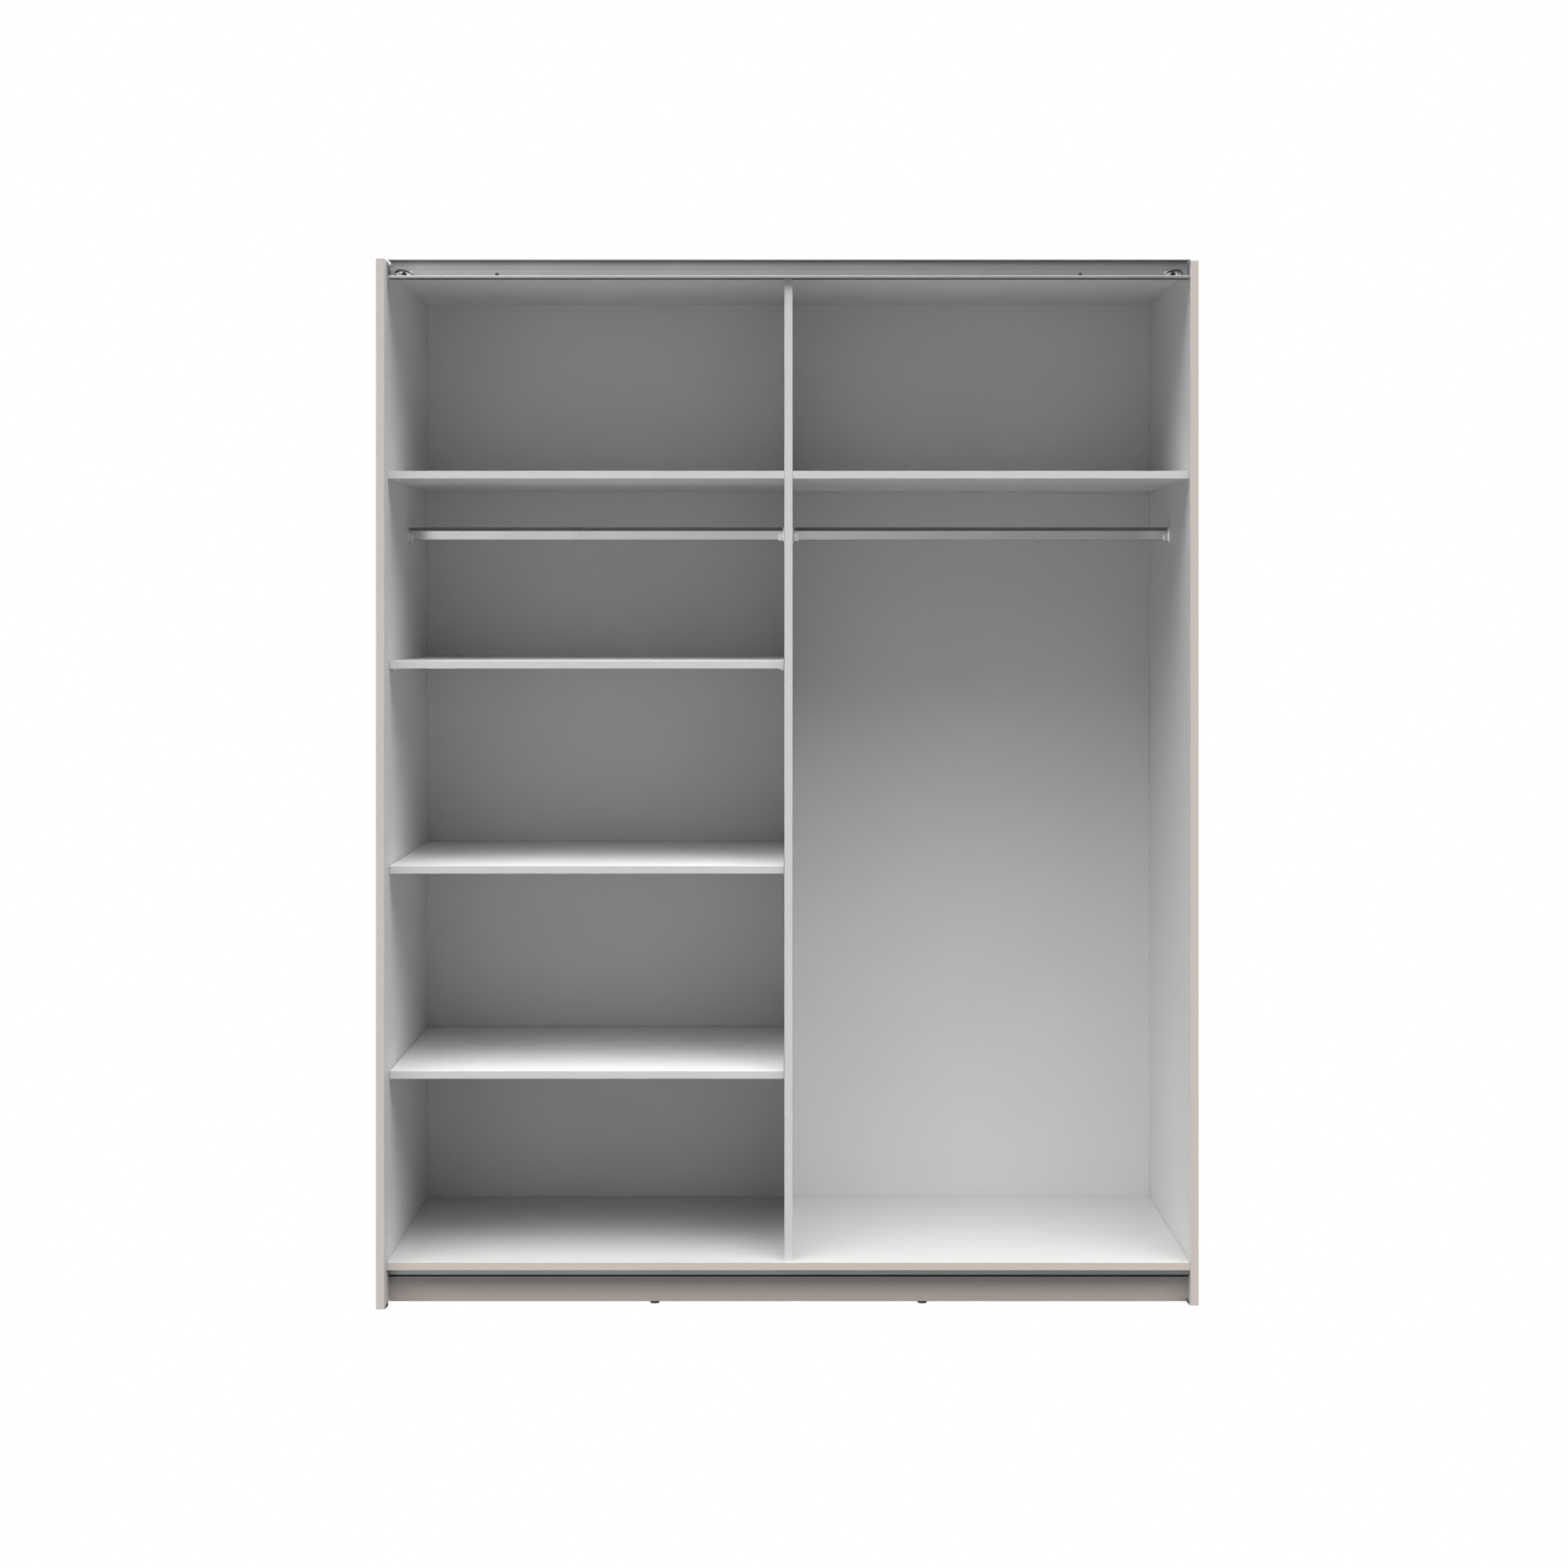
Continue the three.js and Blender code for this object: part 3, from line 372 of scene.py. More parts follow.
def bluedSteel(name):
    # hardened spring strip, oil blued: nearly black, with brown heat tints and rolling lines across its width
    material, tree, coordinates = startMaterial(name)
    place = coordinates.outputs["Object"]
    tint = addNode(tree, "TexNoise", {"Vector": place, "Scale": 1000 / blued["tintMm"], "Detail": 3.0})
    rolled = addNode(tree, "Mapping", {"Vector": place, "Scale": (1.0, 0.08, 1.0)})
    grain = addNode(tree, "TexNoise", {"Vector": rolled, "Scale": 1000 / blued["lineMm"], "Detail": 2.0})
    colour = addNode(tree, "Mix", {
        "Factor": tint, "A": toLinear(blued["oil"]), "B": toLinear(blued["tint"]),
    }, data_type="RGBA")
    rough = addNode(tree, "MapRange", {
        "Value": grain, "From Min": 0.3, "From Max": 0.7, "To Min": 0.34, "To Max": 0.46,
    })
    finishMaterial(tree, colour, rough, grain, blued["lineDepthMm"], metallic=0.85)
    return material


moulded = {"flowMm": 12}


def mouldedPlastic(name, hexColour, flowHex, roughness, grainMm, depthMm):
    # injection-moulded plastic or rubber from a spark-eroded mould: a fine even grain, with slow flow marks
    material, tree, coordinates = startMaterial(name)
    place = coordinates.outputs["Object"]
    grain = addNode(tree, "TexNoise", {"Vector": place, "Scale": 1000 / grainMm, "Detail": 3.0})
    flow = addNode(tree, "TexNoise", {"Vector": place, "Scale": 1000 / moulded["flowMm"], "Detail": 2.0})
    tone = addNode(tree, "MapRange", {
        "Value": flow, "From Min": 0.3, "From Max": 0.7, "To Min": 0.0, "To Max": 0.5,
    })
    colour = addNode(tree, "Mix", {
        "Factor": tone, "A": toLinear(hexColour), "B": toLinear(flowHex),
    }, data_type="RGBA")
    rough = addNode(tree, "MapRange", {
        "Value": grain, "From Min": 0.3, "From Max": 0.7,
        "To Min": roughness - 0.05, "To Max": roughness + 0.07,
    })
    finishMaterial(tree, colour, rough, grain, depthMm)
    return material


trackFlange = 1.7 * mm  # the track's top flange, with its edge
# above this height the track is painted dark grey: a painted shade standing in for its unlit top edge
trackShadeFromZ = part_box("top_track")[1].z - trackFlange
trackAluminium = anodisedAluminium("anodisedAluminiumTrack", "#C6C7C7", "#B2B3B3", 0.32, 0.9, 0.7, trackShadeFromZ)
guideAluminium = anodisedAluminium("anodisedAluminiumGuide", "#9E9F9F", "#8C8D8D", 0.40, 0.9, 0.7)
railAluminium = anodisedAluminium("brightAluminiumRail", "#CFCFCF", "#C2C2C2", 0.18, 1.0, 1.0)
wornZinc = platedSteel("wornZincScrew", "#7E8083", "#65676A", 0.42)
zincSteel = platedSteel("zincPlatedSteel", "#F4F5F6", "#DCDEE0", 0.16)
springSteel = bluedSteel("bluedSpringSteel")
bufferRubber = mouldedPlastic("mouldedRubber", "#343435", "#3F3F40", 0.72, 1.2, 0.03)
blackAbs = mouldedPlastic("blackAbs", "#161617", "#1E1E20", 0.48, 0.8, 0.02)
stripPlastic = mouldedPlastic("extrudedGreyStrip", "#787878", "#707070", 0.55, 0.9, 0.02)
whitePlastic = mouldedPlastic("whitePolystyrene", "#DDDDDD", "#D4D4D4", 0.42, 0.8, 0.015)
backSheet = lacqueredHardboard("lacqueredHardboard")
print("materials made")


# Surfaces worked out on grids

def gridPart(points, closeU=False, closeV=False, capEnds=False):
    # points[u, v] is a surface of two parameters; quads join neighbours, and the first and last rows can
    # be capped
    rows, columns = points.shape[:2]
    index = np.arange(rows * columns).reshape(rows, columns)
    if closeU:
        index = np.vstack([index, index[:1]])
    if closeV:
        index = np.hstack([index, index[:, :1]])
    quads = np.stack([index[:-1, :-1], index[1:, :-1], index[1:, 1:], index[:-1, 1:]], axis=-1)
    faces = quads.reshape(-1, 4).tolist()
    if capEnds:
        faces.append(np.arange(columns)[::-1].tolist())
        faces.append(np.arange((rows - 1) * columns, rows * columns).tolist())
    return points.reshape(-1, 3), faces


def axesAround(axis):
    # two directions square to the axis
    along = np.array(axis, float)
    helper = np.array([0.0, 0.0, 1.0]) if abs(along[2]) < 0.9 else np.array([1.0, 0.0, 0.0])
    first = np.cross(helper, along)
    first /= np.linalg.norm(first)
    return along, first, np.cross(along, first)


def turnedPart(profile, centre, axis, sides=40, ripple=None):
    # p(h, a) = centre + axis * h + (first * cos a + second * sin a) * r(h), with r * ripple(a, h) if given
    along, first, second = axesAround(axis)
    radius, height = np.array(profile, float).T
    angle = np.arange(sides) * 2 * np.pi / sides
    radius = radius[:, None] * np.ones(sides)
    if ripple is not None:
        radius = radius * ripple(angle[None, :], height[:, None])
    ring = first * np.cos(angle)[:, None] + second * np.sin(angle)[:, None]
    points = np.array(centre) + along * height[:, None, None] + ring[None] * radius[..., None]
    return gridPart(points, closeV=True)


def sweptPart(section, path, side):
    # p(s, t) = path(t) + normal(t) * u(s) + side * v(s), where normal = side x tangent
    path = np.array(path, float)
    side = np.array(side, float)
    tangent = np.gradient(path, axis=0)
    tangent /= np.linalg.norm(tangent, axis=1)[:, None]
    normal = np.cross(side, tangent)
    u, v = np.array(section, float).T
    points = path[:, None] + normal[:, None] * u[None, :, None] + side * v[None, :, None]
    return gridPart(points, closeV=True, capEnds=True)


def roundedRing(width, height, radius, steps=8):
    # a rectangle with quarter-circle corners, as a ring of (u, v)
    quarter = np.linspace(0, np.pi / 2, steps)
    corners = [(1, 1, 0), (-1, 1, 1), (-1, -1, 2), (1, -1, 3)]
    rings = []
    for su, sv, turn in corners:
        angle = quarter + turn * np.pi / 2
        u = su * (width / 2 - radius) + radius * np.cos(angle)
        v = sv * (height / 2 - radius) + radius * np.sin(angle)
        rings.append(np.stack([u, v], axis=1))
    return np.vstack(rings)


def slabPart(centre, axis, width, height, thickness, radius, edge):
    # a rounded plate: ring(inset) carried through the edge's quarter circles, inset = edge * (1 - cos b)
    along, first, second = axesAround(axis)
    bend = np.linspace(0, np.pi / 2, 5)
    inset = np.concatenate([edge * (1 - np.sin(bend)), edge * (1 - np.sin(bend))[::-1]])
    lift = np.concatenate([edge * (1 - np.cos(bend)), thickness - edge * (1 - np.cos(bend))[::-1]])
    rings = [roundedRing(width - 2 * i, height - 2 * i, max(radius - i, 0.1 * mm)) for i in inset]
    flat = np.array(rings)
    points = (np.array(centre) + first * flat[..., :1] + second * flat[..., 1:]
              + along * lift[:, None, None])
    return gridPart(points, closeV=True, capEnds=True)


def blockPart(low, high, radius, steps=5):
    # a box with round edges: p = centre + sign(d) * (half - r) + r * d over the unit sphere's directions d
    low, high = np.array(low, float), np.array(high, float)
    half = (high - low) / 2
    quarter = np.linspace(0, np.pi / 2, steps)
    longitude = np.concatenate([quarter + k * np.pi / 2 for k in range(4)])
    signX = np.repeat([1, -1, -1, 1], steps)
    signY = np.repeat([1, 1, -1, -1], steps)
    latitude = np.concatenate([quarter - np.pi / 2, quarter])
    signZ = np.repeat([-1, 1], steps)
    cosLat = np.cos(latitude)[:, None]
    direction = np.stack([cosLat * np.cos(longitude), cosLat * np.sin(longitude),
                          np.sin(latitude)[:, None] * np.ones(len(longitude))], axis=-1)
    signs = np.stack([np.ones(len(latitude))[:, None] * signX, np.ones(len(latitude))[:, None] * signY,
                      signZ[:, None] * np.ones(len(longitude))], axis=-1)
    points = (low + high) / 2 + signs * (half - radius) + radius * direction
    return gridPart(points, closeV=True, capEnds=True)


def crossHeadPart(centre, axis, radius, height, slotWidth, slotDepth, rings=14, sides=48):
    # a domed screw head: h(r, a) = dome(r) - slot depth where |x| or |y| is under half a slot and r is
    # within 0.62 of the radius
    along, first, second = axesAround(axis)
    share = np.linspace(0, 1, rings)
    angle = np.arange(sides) * 2 * np.pi / sides
    r = radius * share[:, None] * np.ones(sides)
    x, y = r * np.cos(angle), r * np.sin(angle)
    dome = height * (1 - 0.42 * share ** 2.6)[:, None] * np.ones(sides)
    arm = np.minimum(np.abs(x), np.abs(y))
    inSlot = np.clip((slotWidth / 2 - arm) / (slotWidth * 0.25), 0, 1)
    inSlot = inSlot * np.clip((0.62 * radius - r) / (0.12 * radius), 0, 1)
    lift = dome - slotDepth * inSlot
    top = np.array(centre) + along * lift[..., None] + first * x[..., None] + second * y[..., None]
    foot = top[-1] - along * height * 0.58
    points = np.concatenate([top, foot[None]])
    return gridPart(points, closeV=True)


meshing = {"merge": 0.002 * mm, "sharpDegrees": 38}


def makePiece(name, parts, material, body, replaced):
    # joins the parts into one closed mesh, turns its faces outwards and hangs it on its body
    vertices, faces, offset = [], [], 0
    for points, loops in parts:
        vertices.append(points)
        faces.extend([[i + offset for i in loop] for loop in loops])
        offset += len(points)
    mesh = bpy.data.meshes.new(name)
    mesh.from_pydata(np.vstack(vertices).tolist(), [], faces)
    shape = bmesh.new()
    shape.from_mesh(mesh)
    bmesh.ops.remove_doubles(shape, verts=shape.verts, dist=meshing["merge"])
    bmesh.ops.dissolve_degenerate(shape, edges=shape.edges, dist=meshing["merge"])
    bmesh.ops.recalc_face_normals(shape, faces=shape.faces)
    for face in shape.faces:
        face.smooth = True
    for edge in shape.edges:
        if len(edge.link_faces) == 2 and edge.calc_face_angle(0) > math.radians(meshing["sharpDegrees"]):
            edge.smooth = False
    shape.to_mesh(mesh)
    shape.free()
    piece = bpy.data.objects.new(name, mesh)
    bpy.context.scene.collection.objects.link(piece)
    mesh.materials.append(material)
    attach(piece, body)
    if replaced:
        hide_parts(*replaced)


# Boards, sheets and profiles keep their exact shape: a finer edge and a real finish

edgeRadius = {"board": 0.5 * mm, "sheet": 0.25 * mm, "profile": 0.25 * mm}
rounding = {"weld": 0.005 * mm, "segments": 2, "sharpDegrees": 40}


def dress(name, material, radius):
    node = nodes[name]
    for materialSlot in node.material_slots:
        materialSlot.material = material
    weld = node.modifiers.new("weld", "WELD")
    weld.merge_threshold = rounding["weld"]
    bevel = node.modifiers.new("edgeRounding", "BEVEL")
    bevel.width = radius
    bevel.segments = rounding["segments"]
    bevel.limit_method = "ANGLE"
    bevel.angle_limit = math.radians(rounding["sharpDegrees"])


white, whiteBand, cashmere = melamine["white"], melamine["whiteBand"], melamine["cashmere"]
boardLooks = {
    "side_panel_left": (white, cashmere, -1),
    "side_panel_right": (white, cashmere, 1),
    "bottom_panel": (melamine["whiteShadedFloor"], cashmere, 0),
    "plinth_front": (melamine["cashmereLow"], cashmere, 0),
    "plinth_rear": (white, whiteBand, 0),
    "top_panel": (white, whiteBand, 0),
    "divider_panel": (white, whiteBand, 0),
    "top_shelf_left": (white, whiteBand, 0),
    "top_shelf_right": (white, whiteBand, 0),
    "shelf_lower": (white, whiteBand, 0),
    "shelf_middle": (white, whiteBand, 0),
    "shelf_upper": (white, whiteBand, 0),
    "track_batten": (white, whiteBand, 0),
}
for board, (faceHex, bandHex, outerX) in boardLooks.items():
    low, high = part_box(board)
    finish = melamineBoard("melamine_" + board, low, high, faceHex, bandHex, outerX)
    dress(board, finish, edgeRadius["board"])
for sheet in ("back_panel_left", "back_panel_right"):
    dress(sheet, backSheet, edgeRadius["sheet"])
dress("back_joint_strip", whitePlastic, edgeRadius["sheet"])
dress("top_track", trackAluminium, edgeRadius["profile"])
dress("bottom_guide", guideAluminium, edgeRadius["profile"])
print("boards and profiles dressed")


# Hanging rails: a rounded tube with open ends, and a ridged strip along its top

rail = {"wall": 1.4 * mm, "ridges": 5, "ridgeDepth": 0.35 * mm, "corner": 1.2 * mm}


def tubePart(low, high, wall, corner):
    # ring(s) of the outer face, then of the inner face: x runs out and back, so the ends are annular
    width, height = high.y - low.y, high.z - low.z
    outer = roundedRing(width, height, corner, 12)
    inner = roundedRing(width - 2 * wall, height - 2 * wall, corner - wall, 12)
    centre = np.array([0, (low.y + high.y) / 2, (low.z + high.z) / 2])
    rows = []
    for ring, x in ((outer, low.x), (outer, high.x), (inner, high.x), (inner, low.x)):
        rows.append(np.stack([np.full(len(ring), x), ring[:, 0] + centre[1], ring[:, 1] + centre[2]], axis=1))
    return gridPart(np.array(rows), closeU=True, closeV=True)


def ridgedStripPart(low, high, ridges, depth):
    # section: flat foot, round shoulders, top z = high - depth * (1 - |sin|) across the width
    width = high.y - low.y
    share = np.linspace(-1, 1, 41)
    shoulder = (high.z - low.z) * 0.45 * (1 - np.sqrt(np.clip(1 - np.abs(share) ** 4, 0, 1)))
    top = high.z - shoulder - depth * (1 - np.abs(np.sin(share * np.pi * ridges / 2)))
    y = (low.y + high.y) / 2 + share * width / 2
    y = np.concatenate([y, [high.y, low.y]])
    z = np.concatenate([top, [low.z, low.z]])
    ends = [np.stack([np.full(len(y), x), y, z], axis=1) for x in (low.x, high.x)]
    return gridPart(np.array(ends), closeV=True, capEnds=True)


for bay in ("left", "right"):
    tube = "hanging_rail_" + bay
    low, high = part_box(tube)
    makePiece("rail_tube_" + bay, [tubePart(low, high, rail["wall"], rail["corner"])],
              railAluminium, "rail_" + bay, [tube])
    strip = "rail_strip_" + bay
    low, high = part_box(strip)
    makePiece("rail_ridge_" + bay, [ridgedStripPart(low, high, rail["ridges"], rail["ridgeDepth"])],
              stripPlastic, "rail_" + bay, [strip])

# Rail cups: a wall plate with two countersunk screws and a saddle open at the top

cup = {
    "plate": 2.5 * mm,
    "plateCorner": 8 * mm,
    "plateEdge": 0.6 * mm,
    "wall": 2.5 * mm,
    "bend": 3.1 * mm,  # radius of the saddle's corners along its middle line
    "cheekRise": 13.5 * mm,  # of the cheeks above the seat
    "cheekCorner": 6.5 * mm,
    "root": 1.2 * mm,  # from the wall to the saddle's rear edge, which is inside the plate
    "arris": 0.7 * mm,
    "seatGap": 0.3 * mm,
    "screwRadius": 2.6 * mm,
    "screwHeight": 0.9 * mm,
    "screwSunk": 0.5 * mm,
    "screwSlotWidth": 0.8 * mm,
    "screwSlotDepth": 0.5 * mm,
    "screwY": 9.4 * mm,
    "screwRise": 27 * mm,  # above the plate's foot
}
railLow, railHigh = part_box("hanging_rail_left")
railMiddleY = (railLow.y + railHigh.y) / 2
railHalf = (railHigh.y - railLow.y) / 2


def evenRing(ring, count):
    # the same closed ring with its points at even distances along it
    closed = np.vstack([ring, ring[:1]])
    run = np.concatenate([[0], np.cumsum(np.linalg.norm(np.diff(closed, axis=0), axis=1))])
    steps = np.linspace(0, run[-1], count, endpoint=False)
    return np.stack([np.interp(steps, run, closed[:, 0]), np.interp(steps, run, closed[:, 1])], axis=1)


def saddlePart(low, high, out):
    # a flat bar bent to a square U along straight, quarter circle, straight, quarter circle, straight; its
    # legs' tops fall off towards the mouth as corner * (1 - sqrt(1 - t^2)), where t is the share of the
    # corner reached
    half = railHalf + cup["seatGap"] + cup["wall"] / 2
    seat = railLow.z - cup["seatGap"]
    floorZ = seat - cup["wall"] / 2
    turnZ = floorZ + cup["bend"]
    topZ = seat + cup["cheekRise"]
    bend = np.linspace(0, np.pi / 2, 9)
    legs = np.linspace(topZ, turnZ, 12)[:-1]
    cornerY = half - cup["bend"] + cup["bend"] * np.cos(bend)
    cornerZ = turnZ - cup["bend"] * np.sin(bend)
    sideY = np.concatenate([np.full(len(legs), half), cornerY])
    sideZ = np.concatenate([legs, cornerZ])
    y = railMiddleY + np.concatenate([-sideY, sideY[::-1]])
    z = np.concatenate([sideZ, sideZ[::-1]])
    wallX = low.x if out > 0 else high.x
    depth = high.x - low.x
    section = evenRing(roundedRing(cup["wall"], depth - cup["root"], cup["arris"], 5), 72)
    path = np.stack([np.full(len(y), wallX + out * (depth + cup["root"]) / 2), y, z], axis=1)
    points, faces = sweptPart(section, path, (1, 0, 0))
    reach = np.abs(points[:, 0] - wallX)
    t = np.clip((reach - depth + cup["cheekCorner"]) / cup["cheekCorner"], 0, 1)
    fall = cup["cheekCorner"] * (1 - np.sqrt(1 - (0.98 * t) ** 2))
    share = np.clip((points[:, 2] - turnZ) / (topZ - turnZ), 0, 1)
    points[:, 2] -= fall * share
    return points, faces


for name in [n for n in nodes if n.startswith("rail_cup")]:
    low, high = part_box(name)
    out = 1 if name.endswith("start") else -1
    wallX = low.x if out > 0 else high.x
    centre = (wallX, (low.y + high.y) / 2, (low.z + high.z) / 2)
    plate = slabPart(centre, (out, 0, 0), high.y - low.y, high.z - low.z, cup["plate"],
                     cup["plateCorner"], cup["plateEdge"])
    parts = [plate, saddlePart(low, high, out)]
    headX = wallX + out * (cup["plate"] - cup["screwSunk"])
    for side in (-1, 1):
        head = (headX, centre[1] + side * cup["screwY"], low.z + cup["screwRise"])
        parts.append(crossHeadPart(head, (out, 0, 0), cup["screwRadius"], cup["screwHeight"],
                                   cup["screwSlotWidth"], cup["screwSlotDepth"]))
    makePiece(name + "_pressed", parts, zincSteel, "carcass", [name])
print("rails and cups made")

# Shelf supports: a turned pin and collar with a rounded lip and a rib below it

support = {
    "lip": 2.2 * mm,
    "lipRound": 0.9 * mm,
    "collar": 1.2 * mm,
    "collarRadius": 4.2 * mm,
    "axisDrop": 2.5 * mm,  # from the lip's underside to the pin's axis
    "inBoard": 8 * mm,  # the solid's reach into the board
    "pinRadius": 2.4 * mm,
    "pinEndRadius": 1.8 * mm,
    "pinLength": 7.6 * mm,
    "pinTaper": 0.8 * mm,
    "ribHalf": 0.9 * mm,
    "ribDrop": 2.2 * mm,
    "ribIntoLip": 0.4 * mm,
    "ribInset": 1.5 * mm,  # from the tip
    "ribRise": 1.6 * mm,  # of its lower edge towards the tip
    "ribRound": 0.6 * mm,
}


def supportParts(low, high, out):
    # lip: a rounded block; collar and pin: one turned profile; rib: a block that thins towards the tip
    wallX = low.x + support["inBoard"] if out > 0 else high.x - support["inBoard"]
    tipX = high.x if out > 0 else low.x
    middleY = (low.y + high.y) / 2
    lipUnderZ = high.z - support["lip"]
    lipX = sorted([wallX + out * 0.1 * mm, tipX])
    lip = blockPart((lipX[0], low.y, lipUnderZ), (lipX[1], high.y, high.z), support["lipRound"])

    radius, collar = support["collarRadius"], support["collar"]
    pinRadius, pinLength = support["pinRadius"], support["pinLength"]
    profile = [(0, -pinLength), (support["pinEndRadius"], -pinLength),
               (pinRadius, support["pinTaper"] - pinLength), (pinRadius, 0),
               (radius - 0.3 * mm, 0), (radius, 0.3 * mm),
               (radius, collar - 0.4 * mm), (radius - 0.4 * mm, collar), (0, collar)]
    pin = turnedPart(profile, (wallX, middleY, lipUnderZ - support["axisDrop"]), (out, 0, 0), 32)

    ribX = sorted([wallX, tipX - out * support["ribInset"]])
    ribLow = (ribX[0], middleY - support["ribHalf"], lipUnderZ - support["ribDrop"])
    ribHigh = (ribX[1], middleY + support["ribHalf"], lipUnderZ + support["ribIntoLip"])
    points, faces = blockPart(ribLow, ribHigh, support["ribRound"])
    reach = np.abs(points[:, 0] - wallX) / abs(tipX - wallX)
    points[:, 2] += np.where(points[:, 2] < lipUnderZ, support["ribRise"] * reach, 0)
    return [lip, pin, (points, faces)]


for name in [n for n in nodes if n.startswith("support_")]:
    low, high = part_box(name)
    out = 1 if name.endswith("outer") else -1
    makePiece(name + "_cast", supportParts(low, high, out), zincSteel, "carcass", [name])

# Screws in the track

screw = {
    "headHeight": 2.4 * mm,
    "dome": 2.2 * mm,
    "slotWidth": 0.95 * mm,
    "slotDepth": 0.9 * mm,
    "domeOverlap": 0.2 * mm,  # into the head's back
    "shaftOverlap": 0.4 * mm,
    "shaftRadius": 1.7 * mm,
    "shaftEnd": 10 * mm,
    "tipEnd": 13.5 * mm,
}
shaftProfile = [(0, 0), (screw["shaftRadius"], 0), (screw["shaftRadius"], screw["shaftEnd"]),
                (0, screw["tipEnd"])]
for name in [n for n in nodes if "_screw_" in n]:
    low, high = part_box(name)
    middleX, middleZ = (low.x + high.x) / 2, (low.z + high.z) / 2
    headBack = low.y + screw["headHeight"]
    domeBack = (middleX, headBack - screw["domeOverlap"], middleZ)
    head = crossHeadPart(domeBack, (0, -1, 0), (high.x - low.x) / 2, screw["dome"],
                         screw["slotWidth"], screw["slotDepth"])
    shaft = turnedPart(shaftProfile, (middleX, headBack - screw["shaftOverlap"], middleZ), (0, 1, 0), 20)
    look = wornZinc if name.startswith("track") else zincSteel
    makePiece(name + "_cross", [head, shaft], look, "carcass", [name])

# Door catches: plate with pin, curled leaf, round buffer

catch = {
    "plateThickness": 1.5 * mm,
    "plateCorner": 3 * mm,
    "plateEdge": 0.3 * mm,
    "pinRadius": 1.5 * mm,
    "pinInset": 5.3 * mm,
    "leafThickness": 1.1 * mm,
    "leafEdge": 0.45 * mm,
    "curlRadius": 2.45 * mm,
    "curlDegrees": (-60, -228),
    # the leaf's run from its curl, as distance in from the pin and height above it
    "run": [(-1.6, 2.6), (1, 6), (6, 7.9), (12, 8), (21, 5.8), (29, 2.6), (33, -2)],
}


def smoothRun(points, steps):
    # a cubic through the points: p(t) with tangents (next - previous) / 2
    points = np.array(points, float)
    padded = np.vstack([2 * points[0] - points[1], points, 2 * points[-1] - points[-2]])
    t = np.linspace(0, len(points) - 1, steps)
    start = np.minimum(t.astype(int), len(points) - 2)
    f = (t - start)[:, None]
    a, b, c, d = (padded[start + k] for k in range(4))
    square = 2 * a - 5 * b + 4 * c - d
    cube = 3 * b - a - 3 * c + d
    return 0.5 * (2 * b + (c - a) * f + square * f ** 2 + cube * f ** 3)


for end, sign in (("left", -1), ("right", 1)):
    inward = -sign
    plateLow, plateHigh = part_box("catch_plate_" + end)
    leafLow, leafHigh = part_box("catch_spring_" + end)
    bufferLow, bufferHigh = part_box("catch_buffer_" + end)
    plateZ = (plateLow.z + plateHigh.z) / 2
    outerX = plateLow.x if sign < 0 else plateHigh.x
    pinX = outerX + inward * catch["pinInset"]
    plate = slabPart(((plateLow.x + plateHigh.x) / 2, plateHigh.y, plateZ), (0, -1, 0),
                     plateHigh.x - plateLow.x, plateHigh.z - plateLow.z, catch["plateThickness"],
                     catch["plateCorner"], catch["plateEdge"])
    pinLength = plateHigh.y - plateLow.y
    pinProfile = [(0, 0), (catch["pinRadius"], 0), (catch["pinRadius"], pinLength - 0.5 * mm),
                  (catch["pinRadius"] - 0.4 * mm, pinLength), (0, pinLength)]
    pin = turnedPart(pinProfile, (pinX, plateHigh.y, plateZ), (0, -1, 0), 24)
    makePiece("catch_base_" + end, [plate, pin], zincSteel, "carcass", ["catch_plate_" + end])

    curlAngle = np.radians(np.linspace(*catch["curlDegrees"], 26))
    curl = np.stack([np.cos(curlAngle), np.sin(curlAngle)], axis=1) * catch["curlRadius"] / mm
    run = smoothRun(catch["run"], 60)
    line = np.vstack([curl, run[2:]]) * mm
    middleY = (leafLow.y + leafHigh.y) / 2
    path = np.stack([pinX + inward * line[:, 0], np.full(len(line), middleY), plateZ + line[:, 1]], axis=1)
    strip = roundedRing(catch["leafThickness"], leafHigh.y - leafLow.y, catch["leafEdge"], 4)
    makePiece("catch_leaf_" + end, [sweptPart(strip, path, (0, 1, 0))], springSteel, "leaf_" + end,
              ["catch_spring_" + end])

    radius = (bufferHigh.x - bufferLow.x) / 2
    width = bufferHigh.y - bufferLow.y
    # a shallow ring groove in its face, a rounded rim, and a fine groove round its middle
    bufferProfile = [(0, 0), (radius * 0.45, 0), (radius * 0.5, 0.5 * mm), (radius * 0.62, 0.5 * mm),
                     (radius * 0.7, 0), (radius - 0.9 * mm, 0), (radius - 0.25 * mm, 0.3 * mm),
                     (radius, 0.9 * mm), (radius, width * 0.45), (radius - 0.35 * mm, width * 0.5),
                     (radius, width * 0.55), (radius, width), (0, width)]
    bufferCentre = ((bufferLow.x + bufferHigh.x) / 2, bufferLow.y, (bufferLow.z + bufferHigh.z) / 2)
    makePiece("catch_stop_" + end, [turnedPart(bufferProfile, bufferCentre, (0, 1, 0), 40)], bufferRubber,
              "carcass", ["catch_buffer_" + end])
print("supports, screws and catches made")

# Feet, glides and plugs

foot = {
    "ribs": 24,
    "ribDepth": 0.03,  # as a share of the radius
    "rimEdge": 0.9 * mm,
    "pad": 3.7 * mm,
    "stemRadius": 3 * mm,
    "threadPitch": 1.25 * mm,
    "threadDepth": 0.3 * mm,
}


def threadProfile(start, end):
    # a stem with thread-like rings: r(h) = radius - depth * (1 - cos(2 pi h / pitch)) / 2
    h = np.arange(start, end, foot["threadPitch"] / 8)
    wave = 1 - np.cos(2 * np.pi * (h - start) / foot["threadPitch"])
    r = foot["stemRadius"] - foot["threadDepth"] * wave / 2
    return list(zip(r, h))


